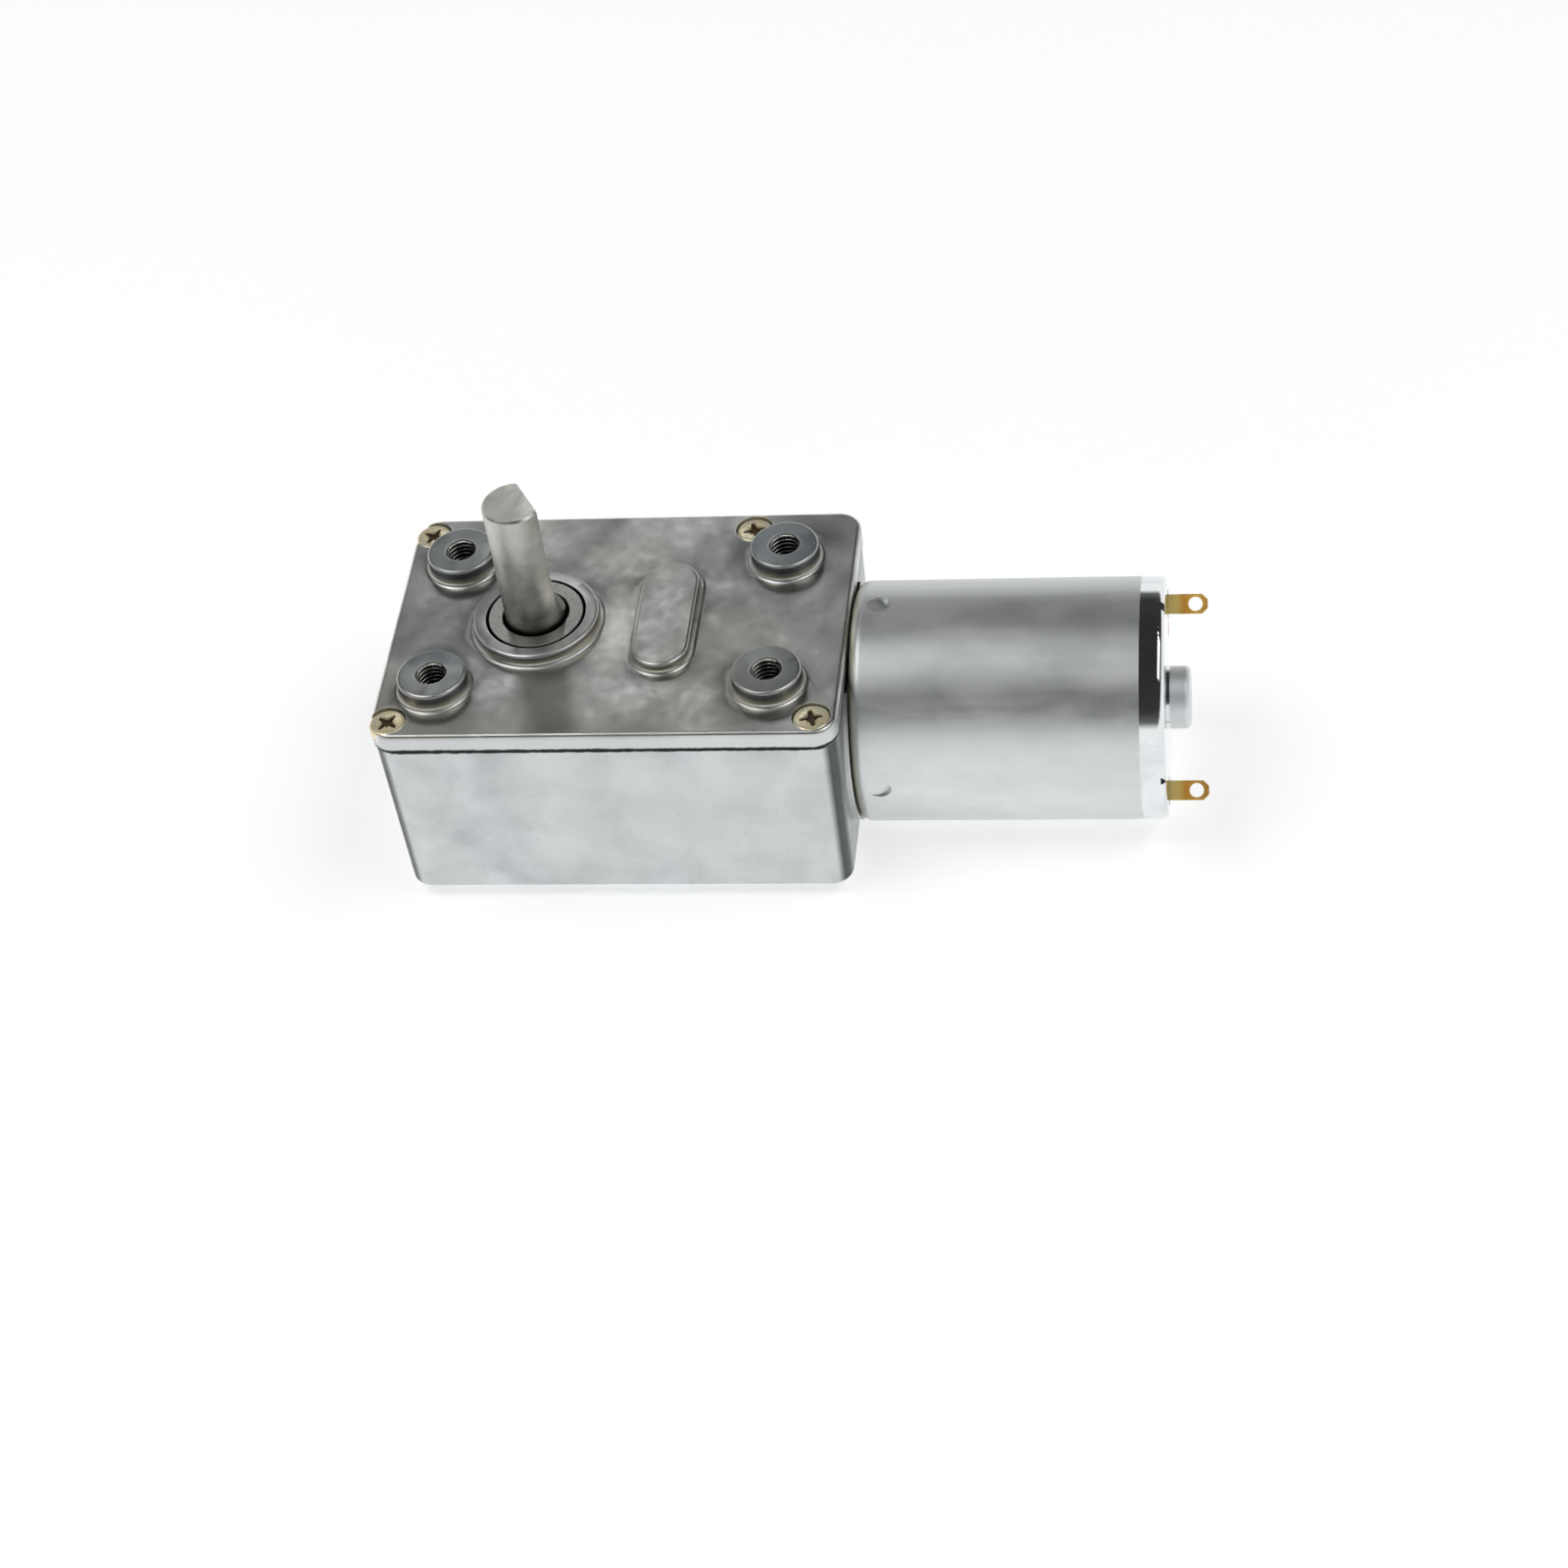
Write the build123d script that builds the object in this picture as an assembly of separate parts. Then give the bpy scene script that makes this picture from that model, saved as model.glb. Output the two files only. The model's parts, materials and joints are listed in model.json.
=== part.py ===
from build123d import *
import os
from math import acos, atan2, cos, degrees, pi, radians, sin, sqrt, tan

# Worm gear motor: a flat die-cast gearbox with a D-cut output shaft standing
# out of its cover, and a round brushed motor entering its end wall.
# Origin: the output shaft's axis, at the faces of the four mounting bosses.
# +Z runs up the shaft, +X runs along the motor, all sizes are in millimetres.

# Gear teeth
fast_module = 0.5
slow_module = 0.6
pressure_angle = 20.0
flank_play = 0.05
pinion_shift = 0.35
tooth_height = 0.92
root_room = 0.3
worm_pitch_diameter = 4.4
worm_length = 7.6
wheel_teeth = 20
pinion_teeth = 10
second_teeth = 24
third_teeth = 21
output_teeth = 36

# Gear widths and the room between the layers
wheel_width = 4.0
low_width = 2.5
mid_width = 2.6
output_width = 5.0
output_lift = 1.2
layer_gap = 0.3
pinion_overrun = 0.4
end_play = 0.1
running_gap = 0.04
press_gap = 0.01
hub_radius = 1.9
third_foot_radius = 1.7
output_hub_radius = 4.2
pin_radius = 1.0
pin_seat = 1.0
pin_washer_radius = 1.8
pin_washer_thickness = 0.3

# Output shaft and its bushes
shaft_radius = 3.0
shaft_reach = 13.83
shaft_chamfer = 0.2
flat_depth = 1.5
flat_length = 11.6
flat_direction = 32.0
upper_bush_radius = 4.85
upper_bush_length = 5.84
lower_bush_radius = 4.0
lower_bush_length = 5.6
lower_bush_sink = 0.7
bush_chamfer = 0.35
clip_thickness = 0.7
clip_radius = 4.2
clip_groove = 0.45
clip_opening = 75.0
thrust_washer_radius = 4.6
thrust_washer_thickness = 0.5

# Gearbox casting
wall = 2.0
end_wall = 2.1
motor_wall = 2.2
floor_thickness = 1.7
cavity_end_gap = 1.41
cavity_side_gap = 1.25
motor_screw_room = 2.35
corner_radius = 2.4
cavity_corner_radius = 1.2
housing_inset = 0.12
draft_angle = 0.9
base_fillet = 0.6
parting_chamfer = 0.2
pillar_radius = 2.1
floor_boss_wall = 1.2

# Cover, with its raised bosses, collar and pad
cover_thickness = 2.1
cover_fillet = 0.45
boss_height = 1.95
boss_face_radius = 3.45
boss_from_shaft = 9.0
boss_spacing_x = 33.0
boss_spacing_y = 18.0
thread_radius = 1.25
thread_chamfer = 0.35
raised_edge = 0.35
raised_cove = 0.55
collar_height = 1.34
collar_radius = 6.3
pad_height = 1.2
pad_radius = 2.85
under_boss_wall = 1.5

# Cover screws
screw_radius = 0.95
screw_head_radius = 1.8
screw_head_height = 1.1
screw_length = 7.5
screw_hole_spare = 1.0
screw_gap = 0.1
screw_point_radius = 0.57
screw_point_height = 0.48
screw_edge = 0.2
recess_arm = 1.08
recess_width = 0.49
recess_depth = 0.66
recess_turn = 45.0
screw_inset_left = 1.7
screw_inset_right = 2.5
screw_inset_y = 2.3
back_screw_inset = 10.8

# Motor
motor_drop = 11.2
can_radius = 12.0
can_length = 30.5
can_wall = 1.1
can_front = 1.2
can_edge = 1.2
flange_inset = 0.1
flange_height = 0.32
cap_band = 2.4
cap_wall = 1.0
cap_edge = 0.7
cap_spigot_length = 2.5
cap_spigot_wall = 0.45
front_boss_radius = 3.1
front_boss_length = 2.2
rear_boss_radius = 3.1
rear_boss_length = 2.2
boss_wall = 0.6
motor_shaft_radius = 1.0
bush_length = 3.0
motor_screw_spread = 8.0
motor_screw_radius = 1.2
motor_screw_head_radius = 2.1
motor_screw_head = 1.4
motor_screw_grip = 1.0
dimple_radius = 1.15
dimple_depth = 0.5
dimple_setback = 2.6
dimple_spread = 49.0
crimp_width = 1.1
crimp_depth = 0.5
brush_axis = 43.0
magnet_thickness = 1.8
magnet_length = 15.0
magnet_arc = 140.0
magnet_setback = 5.0
air_gap = 0.45
core_length = 13.0
pole_arc = 96.0
pole_thickness = 1.1
stem_width = 2.4
hub_wall = 1.2
coil_wall = 1.5
coil_gap = 0.08
commutator_radius = 2.4
commutator_core_radius = 1.8
commutator_length = 4.0
commutator_slot = 12.0
holder_thickness = 2.1
holder_gap = 0.05
terminal_width = 1.95
terminal_thickness = 0.4
terminal_inset = 2.8
terminal_reach = 3.9
terminal_taper = 0.55
terminal_foot_side = 0.4
terminal_foot_face = 0.6
terminal_hole = 1.4
terminal_hole_setback = 1.2
brush_thickness = 0.95
brush_width = 2.0
arm_thickness = 0.25
spacer_thickness = 0.4
shaft_washer_wall = 0.7
crimp_spread = 45.0
poles = 3

# Pitch radii, the centre distances they give, and where each gear turns
slow_pinion_pitch = slow_module * pinion_teeth / 2
fast_pinion_pitch = fast_module * pinion_teeth / 2
output_pitch = slow_module * output_teeth / 2
third_pitch = slow_module * third_teeth / 2
second_pitch = fast_module * second_teeth / 2
wheel_pitch = fast_module * wheel_teeth / 2
worm_pitch = worm_pitch_diameter / 2
worm_lead = pi * fast_module
output_distance = output_pitch + slow_pinion_pitch
slow_distance = third_pitch + slow_pinion_pitch
fast_distance = second_pitch + fast_pinion_pitch
pin_half_spread = slow_distance / 2
pin_x = sqrt(output_distance**2 - pin_half_spread**2)
wheel_y = -(worm_pitch + wheel_pitch)
wheel_x = pin_x + sqrt(fast_distance**2 - (wheel_y + pin_half_spread) ** 2)
third_axis = (pin_x, pin_half_spread)
second_axis = (pin_x, -pin_half_spread)
wheel_axis = (wheel_x, wheel_y)

# Heights, from the mounting faces down to the base
cover_top = -boss_height
cover_under = cover_top - cover_thickness
screw_top = cover_top - screw_gap
screw_seat = screw_top - screw_head_height
screw_tip = screw_top - screw_length
motor_z = cover_top - motor_drop
worm_tip = worm_pitch + fast_module
mid_top = motor_z - worm_tip - layer_gap
mid_bottom = mid_top - mid_width
low_top = mid_bottom - layer_gap
low_bottom = low_top - low_width
floor_z = low_bottom - end_play - pin_washer_thickness
base_z = floor_z - floor_thickness
output_bottom = mid_top + output_lift
output_top = output_bottom + output_width
collar_top = cover_top + collar_height
upper_bush_bottom = collar_top - upper_bush_length
lower_bush_bottom = floor_z - lower_bush_sink
lower_bush_top = lower_bush_bottom + lower_bush_length
washer_top = upper_bush_bottom - end_play
clip_top = washer_top - thrust_washer_thickness
clip_bottom = clip_top - clip_thickness

# Outline of the gearbox, from the gears and the room round them
tip_radius = {
    "output": output_pitch + slow_module * (tooth_height - pinion_shift),
    "wheel": wheel_pitch + fast_module * tooth_height,
}
cavity_left = -(tip_radius["output"] + cavity_end_gap)
cavity_right = wheel_x + tip_radius["wheel"] + motor_screw_room
cavity_half_width = -wheel_y + tip_radius["wheel"] + cavity_side_gap
cover_left = cavity_left - end_wall
cover_right = cavity_right + motor_wall
cover_half_width = cavity_half_width + wall
cover_middle = (cover_left + cover_right) / 2
cover_length = cover_right - cover_left
cover_width = 2 * cover_half_width
motor_face = cover_right + flange_height - housing_inset

boss_centres = [
    (x, y)
    for x in (-boss_from_shaft, boss_spacing_x - boss_from_shaft)
    for y in (-boss_spacing_y / 2, boss_spacing_y / 2)
]
screw_y = cover_half_width - screw_inset_y
screw_centres = [
    (cover_left + screw_inset_left, -screw_y),
    (cover_right - screw_inset_right, -screw_y),
    (cover_left + screw_inset_left, screw_y),
    (cover_right - back_screw_inset, screw_y),
]


def upright(radius, bottom, top, centre=(0, 0)):
    """A round bar standing between two heights."""
    return Pos(centre[0], centre[1], bottom) * Cylinder(
        radius, top - bottom, align=(Align.CENTER, Align.CENTER, Align.MIN)
    )


def along_motor(radius, start, end, y=0, z=0):
    """A round bar lying along X, measured from the motor's axis."""
    bar = Cylinder(radius, end - start, align=(Align.CENTER, Align.CENTER, Align.MIN))
    return Pos(start, y, motor_z + z) * (Rot(0, 90, 0) * bar)


def outline(corners):
    """Closed flat outline through (u, v) or (u, v, rounding) corners."""
    edges = []
    starts = []
    ends = []
    count = len(corners)
    for index, corner in enumerate(corners):
        here = Vector(corner[0], corner[1])
        rounding = corner[2] if len(corner) > 2 else 0
        if not rounding:
            starts.append(here)
            ends.append(here)
            continue
        before = Vector(*corners[index - 1][:2]) - here
        after = Vector(*corners[(index + 1) % count][:2]) - here
        before = before.normalized()
        after = after.normalized()
        half = radians(before.get_angle(after)) / 2
        middle = (before + after).normalized()
        first = here + before * (rounding / tan(half))
        last = here + after * (rounding / tan(half))
        bulge = here + middle * (rounding / sin(half) - rounding)
        starts.append(first)
        ends.append(last)
        edges.append(ThreePointArc(first, bulge, last))
    for index in range(count):
        start = ends[index - 1]
        end = starts[index]
        if (end - start).length > 1e-6:
            edges.append(Line(start, end))
    return make_face(Curve() + edges)


def turned_upright(corners, centre=(0, 0)):
    """Turn a (radius, height) outline about an upright axis."""
    face = Plane.XZ * outline(corners)
    return Pos(centre[0], centre[1], 0) * revolve(face, Axis.Z)


def turned_motor(corners, arc=360.0):
    """Turn an (x, radius) outline about the motor's axis."""
    return Pos(0, 0, motor_z) * revolve(outline(corners), Axis.X, arc)


def involute(angle):
    return tan(angle) - angle


def gear_points(teeth, module, shift, turn):
    """Corners of a spur gear whose flanks follow the involute."""
    pitch = module * teeth / 2
    base = pitch * cos(radians(pressure_angle))
    tip = pitch + module * (tooth_height + shift)
    root = pitch - module * (tooth_height + root_room - shift)
    half = pi / (2 * teeth) + 2 * shift * tan(radians(pressure_angle)) / teeth
    half += involute(radians(pressure_angle)) - flank_play / pitch
    foot = max(base, root)
    radii = [foot, (2 * foot + tip) / 3, (foot + 2 * tip) / 3, tip]
    flank = [(radius, half - involute(acos(min(1, base / radius)))) for radius in radii]
    if root < base:
        flank.insert(0, (root, flank[0][1]))
    points = []
    for tooth in range(teeth):
        middle = turn + 2 * pi * tooth / teeth
        points += [(r * cos(middle - a), r * sin(middle - a)) for r, a in flank]
        points += [(r * cos(middle + a), r * sin(middle + a)) for r, a in reversed(flank)]
    return points


def gear_face(teeth, module, shift, turn=0.0):
    return make_face(Polyline(*gear_points(teeth, module, shift, turn), close=True))


def spur_gear(teeth, module, shift, bottom, top, axis, turn=0.0):
    """A straight gear standing between two heights on its axis."""
    face = gear_face(teeth, module, shift, turn)
    return Pos(axis[0], axis[1], bottom) * extrude(face, top - bottom)


def meshing_turn(teeth, turn, axis, other_teeth, other_axis):
    """How far the other gear is turned so that its teeth fall into the gaps."""
    toward = atan2(other_axis[1] - axis[1], other_axis[0] - axis[0])
    part = (toward - turn) * teeth / (2 * pi)
    return toward + pi - (0.5 - part) * 2 * pi / other_teeth


def raised_round(face_radius, height, centre):
    """A cast round boss with a rounded edge and a hollow cove at its foot."""
    foot = face_radius + raised_cove
    return turned_upright(
        [
            (0, cover_top - cover_thickness / 2),
            (foot, cover_top - cover_thickness / 2),
            (foot, cover_top),
            (face_radius, cover_top, raised_cove * 0.95),
            (face_radius, cover_top + height, raised_edge),
            (0, cover_top + height),
        ],
        centre,
    )


def raised_pad():
    """The long pad over the two gear pins: a boss drawn out along Y."""
    half = outline(
        [
            (pad_radius + raised_cove, cover_top - cover_thickness / 2),
            (pad_radius + raised_cove, cover_top),
            (pad_radius, cover_top, raised_cove * 0.95),
            (pad_radius, cover_top + pad_height, raised_edge),
            (-pad_radius, cover_top + pad_height, raised_edge),
            (-pad_radius, cover_top, raised_cove * 0.95),
            (-pad_radius - raised_cove, cover_top),
            (-pad_radius - raised_cove, cover_top - cover_thickness / 2),
        ]
    )
    bar = extrude(Plane.XZ * half, pin_half_spread, both=True)
    pad = Pos(pin_x, 0, 0) * bar
    for axis in (second_axis, third_axis):
        pad += raised_round(pad_radius, pad_height, axis)
    return pad


def pin_hole(axis, top):
    """A blind seat for a gear pin, drilled up from under the cover."""
    return upright(pin_radius + press_gap, cover_under, top, axis)


long_pin_top = cover_top + pad_height - pin_seat
short_pin_top = cover_under + pin_seat


def gearbox_cover():
    plate = Pos(cover_middle, 0, cover_under) * extrude(
        RectangleRounded(cover_length, cover_width, corner_radius), cover_thickness
    )
    plate = fillet(plate.faces().sort_by(Axis.Z)[-1].edges(), cover_fillet)
    for centre in boss_centres:
        plate += raised_round(boss_face_radius, boss_height, centre)
    plate += raised_round(collar_radius, collar_height, (0, 0))
    plate += raised_pad()
    under_boss = upper_bush_radius + under_boss_wall
    plate += upright(under_boss, upper_bush_bottom, cover_under)
    for centre in boss_centres:
        plate -= turned_upright(
            [
                (0, cover_under),
                (thread_radius, cover_under),
                (thread_radius, -thread_chamfer),
                (thread_radius + thread_chamfer, 0),
                (0, 0),
            ],
            centre,
        )
    plate -= turned_upright(
        [
            (0, upper_bush_bottom),
            (upper_bush_radius + press_gap, upper_bush_bottom),
            (upper_bush_radius + press_gap, collar_top - bush_chamfer),
            (upper_bush_radius + press_gap + bush_chamfer / 2, collar_top),
            (0, collar_top),
        ]
    )
    for axis in (second_axis, third_axis):
        plate -= pin_hole(axis, long_pin_top)
    plate -= pin_hole(wheel_axis, short_pin_top)
    for centre in screw_centres:
        plate -= upright(screw_radius + screw_gap, cover_under, cover_top, centre)
        plate -= upright(screw_head_radius + screw_gap, screw_seat, cover_top, centre)
    return plate


def gearbox_housing():
    length = cover_length - 2 * housing_inset
    width = cover_width - 2 * housing_inset
    top = Pos(cover_middle, 0, cover_under) * RectangleRounded(length, width, corner_radius)
    shell = extrude(top, base_z - cover_under, dir=(0, 0, 1), taper=draft_angle)
    shell = fillet(shell.faces().sort_by(Axis.Z)[0].edges(), base_fillet)
    shell = chamfer(shell.faces().sort_by(Axis.Z)[-1].edges(), parting_chamfer)
    flange = along_motor(can_radius - flange_inset, cavity_right + motor_wall / 2, motor_face)
    slab = Pos(motor_face, 0, (cover_under + base_z) / 2) * Box(
        4 * motor_wall,
        cover_width,
        cover_under - base_z - 2 * parting_chamfer,
    )
    shell += flange & slab
    cavity = Pos((cavity_left + cavity_right) / 2, 0, floor_z) * extrude(
        RectangleRounded(cavity_right - cavity_left, 2 * cavity_half_width, cavity_corner_radius),
        cover_under - floor_z,
    )
    for centre in screw_centres:
        cavity -= upright(pillar_radius, floor_z, cover_under, centre)
    boss_radius = lower_bush_radius + floor_boss_wall
    cavity -= upright(boss_radius, floor_z, lower_bush_top)
    shell -= cavity
    shell -= upright(lower_bush_radius + press_gap, lower_bush_bottom, lower_bush_top)
    for axis in (wheel_axis, second_axis, third_axis):
        shell -= upright(pin_radius + press_gap, floor_z - pin_seat, floor_z, axis)
    for centre in screw_centres:
        shell -= upright(screw_radius + press_gap, screw_tip - screw_hole_spare, cover_under, centre)
    shell -= along_motor(front_boss_radius + running_gap, cavity_right, motor_face)
    for side in (-1, 1):
        shell -= along_motor(
            motor_screw_radius + screw_gap, cavity_right, motor_face, side * motor_screw_spread
        )
    return shell


def cross_recess(centre):
    """The four-armed recess of a cross-head screw."""
    recess = Part()
    for turn in (recess_turn, recess_turn + 90):
        arm = Box(
            2 * recess_arm,
            recess_width,
            recess_depth,
            align=(Align.CENTER, Align.CENTER, Align.MAX),
        )
        recess += Pos(centre[0], centre[1], screw_top) * (Rot(0, 0, turn) * arm)
    return recess


def cover_screws():
    screws = []
    for centre in screw_centres:
        screw = turned_upright(
            [
                (0, screw_tip),
                (screw_point_radius, screw_tip),
                (screw_radius, screw_tip + screw_point_height),
                (screw_radius, screw_seat),
                (screw_head_radius, screw_seat),
                (screw_head_radius, screw_top, screw_edge),
                (0, screw_top),
            ],
            centre,
        )
        screws.append(screw - cross_recess(centre))
    return screws


def upper_output_bush():
    bore = shaft_radius + running_gap
    return turned_upright(
        [
            (bore, upper_bush_bottom),
            (upper_bush_radius, upper_bush_bottom),
            (upper_bush_radius, collar_top - bush_chamfer),
            (upper_bush_radius - bush_chamfer / 2, collar_top),
            (bore + bush_chamfer, collar_top),
            (bore, collar_top - bush_chamfer),
        ]
    )


def lower_output_bush():
    bush = upright(lower_bush_radius, lower_bush_bottom, lower_bush_top)
    return bush - upright(shaft_radius + running_gap, lower_bush_bottom, lower_bush_top)


def output_shaft():
    tip = cover_top + boss_height + shaft_reach
    foot = lower_bush_bottom + end_play
    groove = shaft_radius - clip_groove
    shaft = turned_upright(
        [
            (0, foot),
            (shaft_radius - shaft_chamfer, foot),
            (shaft_radius, foot + shaft_chamfer),
            (shaft_radius, clip_bottom - press_gap),
            (groove, clip_bottom - press_gap),
            (groove, clip_top + press_gap),
            (shaft_radius, clip_top + press_gap),
            (shaft_radius, tip - shaft_chamfer),
            (shaft_radius - shaft_chamfer, tip),
            (0, tip),
        ]
    )
    cut = Pos(shaft_radius - flat_depth, 0, tip - flat_length) * Box(
        2 * shaft_radius, 3 * shaft_radius, flat_length + 1, align=(Align.MIN, Align.CENTER, Align.MIN)
    )
    runout = Pos(shaft_radius - flat_depth + flat_depth * 2, 0, tip - flat_length) * (
        Rot(90, 0, 0) * Cylinder(flat_depth * 2, 3 * shaft_radius)
    )
    return shaft - Rot(0, 0, flat_direction) * (cut + runout)


def output_gear():
    teeth = spur_gear(output_teeth, slow_module, -pinion_shift, output_bottom, output_top, (0, 0))
    hub = upright(output_hub_radius, lower_bush_top + end_play, clip_bottom - press_gap)
    bore = upright(shaft_radius + press_gap, lower_bush_top, clip_bottom)
    return teeth + hub - bore


def shaft_clip():
    ring = upright(clip_radius, clip_bottom, clip_top)
    ring -= upright(shaft_radius - clip_groove + press_gap, clip_bottom, clip_top)
    reach = 2 * clip_radius
    half = radians(clip_opening / 2)
    wedge = make_face(
        Polyline(
            (0, 0),
            (reach * cos(half), reach * sin(half)),
            (reach * cos(half), -reach * sin(half)),
            close=True,
        )
    )
    return ring - Pos(0, 0, clip_bottom) * extrude(wedge, clip_thickness)


def thrust_washer():
    bottom = clip_top + press_gap
    washer = upright(thrust_washer_radius, bottom, washer_top)
    return washer - upright(shaft_radius + running_gap, bottom, washer_top)


# Each compound gear turns on its pin; the turns put all teeth in mesh at rest
output_turn = 0.0
third_pinion_turn = meshing_turn(output_teeth, output_turn, (0, 0), pinion_teeth, third_axis)
second_pinion_turn = meshing_turn(third_teeth, 0.0, third_axis, pinion_teeth, second_axis)
wheel_pinion_turn = meshing_turn(second_teeth, 0.0, second_axis, pinion_teeth, wheel_axis)
hub_bottom = floor_z + pin_washer_thickness + end_play
hub_top = cover_under - end_play


def pin_bore(part, axis):
    return part - upright(pin_radius + running_gap, hub_bottom, hub_top, axis)


def third_gear():
    gear = spur_gear(third_teeth, slow_module, -pinion_shift, mid_bottom, mid_top, third_axis)
    return gear - upright(hub_radius + press_gap, mid_bottom, mid_top, third_axis)


def third_pinion():
    top = output_top + pinion_overrun
    pinion = spur_gear(
        pinion_teeth, slow_module, pinion_shift, mid_top, top, third_axis, third_pinion_turn
    )
    pinion += upright(third_foot_radius, hub_bottom, mid_bottom, third_axis)
    pinion += upright(hub_radius, mid_bottom, hub_top, third_axis)
    return pin_bore(pinion, third_axis)


def second_gear():
    gear = spur_gear(second_teeth, fast_module, -pinion_shift, low_bottom, low_top, second_axis)
    return gear - upright(hub_radius + press_gap, low_bottom, low_top, second_axis)


def second_pinion():
    top = mid_top + pinion_overrun
    pinion = spur_gear(
        pinion_teeth, slow_module, pinion_shift, low_top, top, second_axis, second_pinion_turn
    )
    pinion += upright(hub_radius, hub_bottom, hub_top, second_axis)
    return pin_bore(pinion, second_axis)


def wheel_pinion():
    top = low_top + layer_gap
    pinion = spur_gear(
        pinion_teeth, fast_module, pinion_shift, hub_bottom, top, wheel_axis, wheel_pinion_turn
    )
    pinion += upright(hub_radius, top, hub_top, wheel_axis)
    return pin_bore(pinion, wheel_axis)


def worm_wheel():
    """The wheel's teeth lean by the worm's lead angle."""
    lean = degrees(wheel_width * worm_lead / (pi * worm_pitch_diameter) / wheel_pitch)
    face = gear_face(wheel_teeth, fast_module, 0.0, radians(-lean / 2)).face()
    twisted = Solid.extrude_linear_with_rotation(face, (0, 0, 0), (0, 0, wheel_width), lean)
    wheel = Pos(wheel_x, wheel_y, motor_z - wheel_width / 2) * Part(twisted.wrapped)
    return wheel - upright(
        hub_radius + press_gap,
        motor_z - wheel_width / 2,
        motor_z + wheel_width / 2,
        wheel_axis,
    )


def worm():
    """A right-hand, single-start worm: its end outline twisted along the shaft."""
    start = wheel_x - worm_length / 2
    root = worm_pitch - fast_module * (tooth_height + root_room)
    slope = tan(radians(pressure_angle))
    half_pitch = worm_lead / 4 - flank_play

    def turn_at(radius):
        return 2 * pi * (half_pitch - (radius - worm_pitch) * slope) / worm_lead

    tip_turn = turn_at(worm_tip)
    root_turn = turn_at(root)
    at_wheel = pi - 2 * pi * (wheel_x + worm_lead / 2 - start) / worm_lead

    def point(radius, turn):
        return (radius * cos(at_wheel + turn), radius * sin(at_wheel + turn))

    steps = 4
    flank = []
    for step in range(steps + 1):
        radius = worm_tip + (root - worm_tip) * step / steps
        flank.append((radius, turn_at(radius)))
    section = make_face(
        Curve()
        + [
            ThreePointArc(point(worm_tip, -tip_turn), point(worm_tip, 0), point(worm_tip, tip_turn)),
            Spline(*[point(radius, turn) for radius, turn in flank]),
            ThreePointArc(point(root, root_turn), point(root, pi), point(root, -root_turn)),
            Spline(*[point(radius, -turn) for radius, turn in reversed(flank)]),
        ]
    ).face()
    turns = 360 * worm_length / worm_lead
    thread = Solid.extrude_linear_with_rotation(section, (0, 0, 0), (0, 0, worm_length), turns)
    seat = Plane(origin=(start, 0, motor_z), x_dir=(0, 1, 0), z_dir=(1, 0, 0))
    body = seat * Part(thread.wrapped)
    return body - along_motor(motor_shaft_radius + press_gap, start, start + worm_length)


def gear_pins():
    return [
        upright(pin_radius, floor_z - pin_seat, long_pin_top, second_axis),
        upright(pin_radius, floor_z - pin_seat, long_pin_top, third_axis),
    ]


def wheel_pin():
    return upright(pin_radius, floor_z - pin_seat, short_pin_top, wheel_axis)


def pin_washers():
    washers = []
    for axis in (wheel_axis, second_axis, third_axis):
        washer = upright(pin_washer_radius, floor_z, floor_z + pin_washer_thickness, axis)
        hole = upright(pin_radius + running_gap, floor_z, floor_z + pin_washer_thickness, axis)
        washers.append(washer - hole)
    return washers


# Motor: the can's front face, its open end and the inner faces they give
can_end = motor_face + can_length
band_start = can_end - cap_band
can_bore = can_radius - can_wall
spigot_start = band_start - cap_spigot_length
cap_inside = can_end - cap_wall
holder_start = cap_inside - holder_thickness
cap_cavity = can_bore - cap_spigot_wall
rear_tip = can_end + rear_boss_length
terminal_spread = can_radius - terminal_inset
front_tip = motor_face - front_boss_length
bush_radius = front_boss_radius - boss_wall
front_bush_start = front_tip + boss_wall
rear_bush_end = rear_tip - boss_wall
core_start = motor_face + magnet_setback + (magnet_length - core_length) / 2
core_end = core_start + core_length
core_radius = can_bore - holder_gap - magnet_thickness - air_gap
pole_step = 360 / poles
commutator_end = holder_start - spacer_thickness
commutator_start = commutator_end - commutator_length
brush_start = commutator_start + (commutator_length - brush_width) / 2


def around_motor(turn):
    """Turn a piece about the motor's axis, from +Y towards +Z."""
    return Pos(0, 0, motor_z) * Rot(turn, 0, 0) * Pos(0, 0, -motor_z)


def can_dimple(turn):
    """A pressed dimple that slopes in from the front to a sheared step."""
    tilt = degrees(atan2(dimple_depth, 2 * dimple_radius))
    tool = Cylinder(dimple_radius, 2, align=(Align.CENTER, Align.CENTER, Align.MIN))
    tool = Pos(motor_face + dimple_setback, 0, motor_z + can_radius - dimple_depth / 2) * (
        Rot(0, tilt, 0) * tool
    )
    return around_motor(turn) * tool


def motor_can():
    can = turned_motor(
        [
            (front_tip, motor_shaft_radius + boss_wall),
            (front_tip, front_boss_radius, boss_wall / 2),
            (motor_face, front_boss_radius),
            (motor_face, can_radius, can_edge),
            (band_start, can_radius),
            (band_start, can_bore),
            (motor_face + can_front, can_bore, can_edge - can_wall / 2),
            (motor_face + can_front, bush_radius + press_gap),
            (front_bush_start, bush_radius + press_gap),
            (front_bush_start, motor_shaft_radius + boss_wall),
        ]
    )
    for side in (0, 180):
        for spread in (-dimple_spread, dimple_spread):
            can -= can_dimple(brush_axis + side + spread)
    for side in (-1, 1):
        can -= along_motor(
            motor_screw_radius + press_gap,
            motor_face,
            motor_face + can_front,
            side * motor_screw_spread,
        )
    return can


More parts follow.
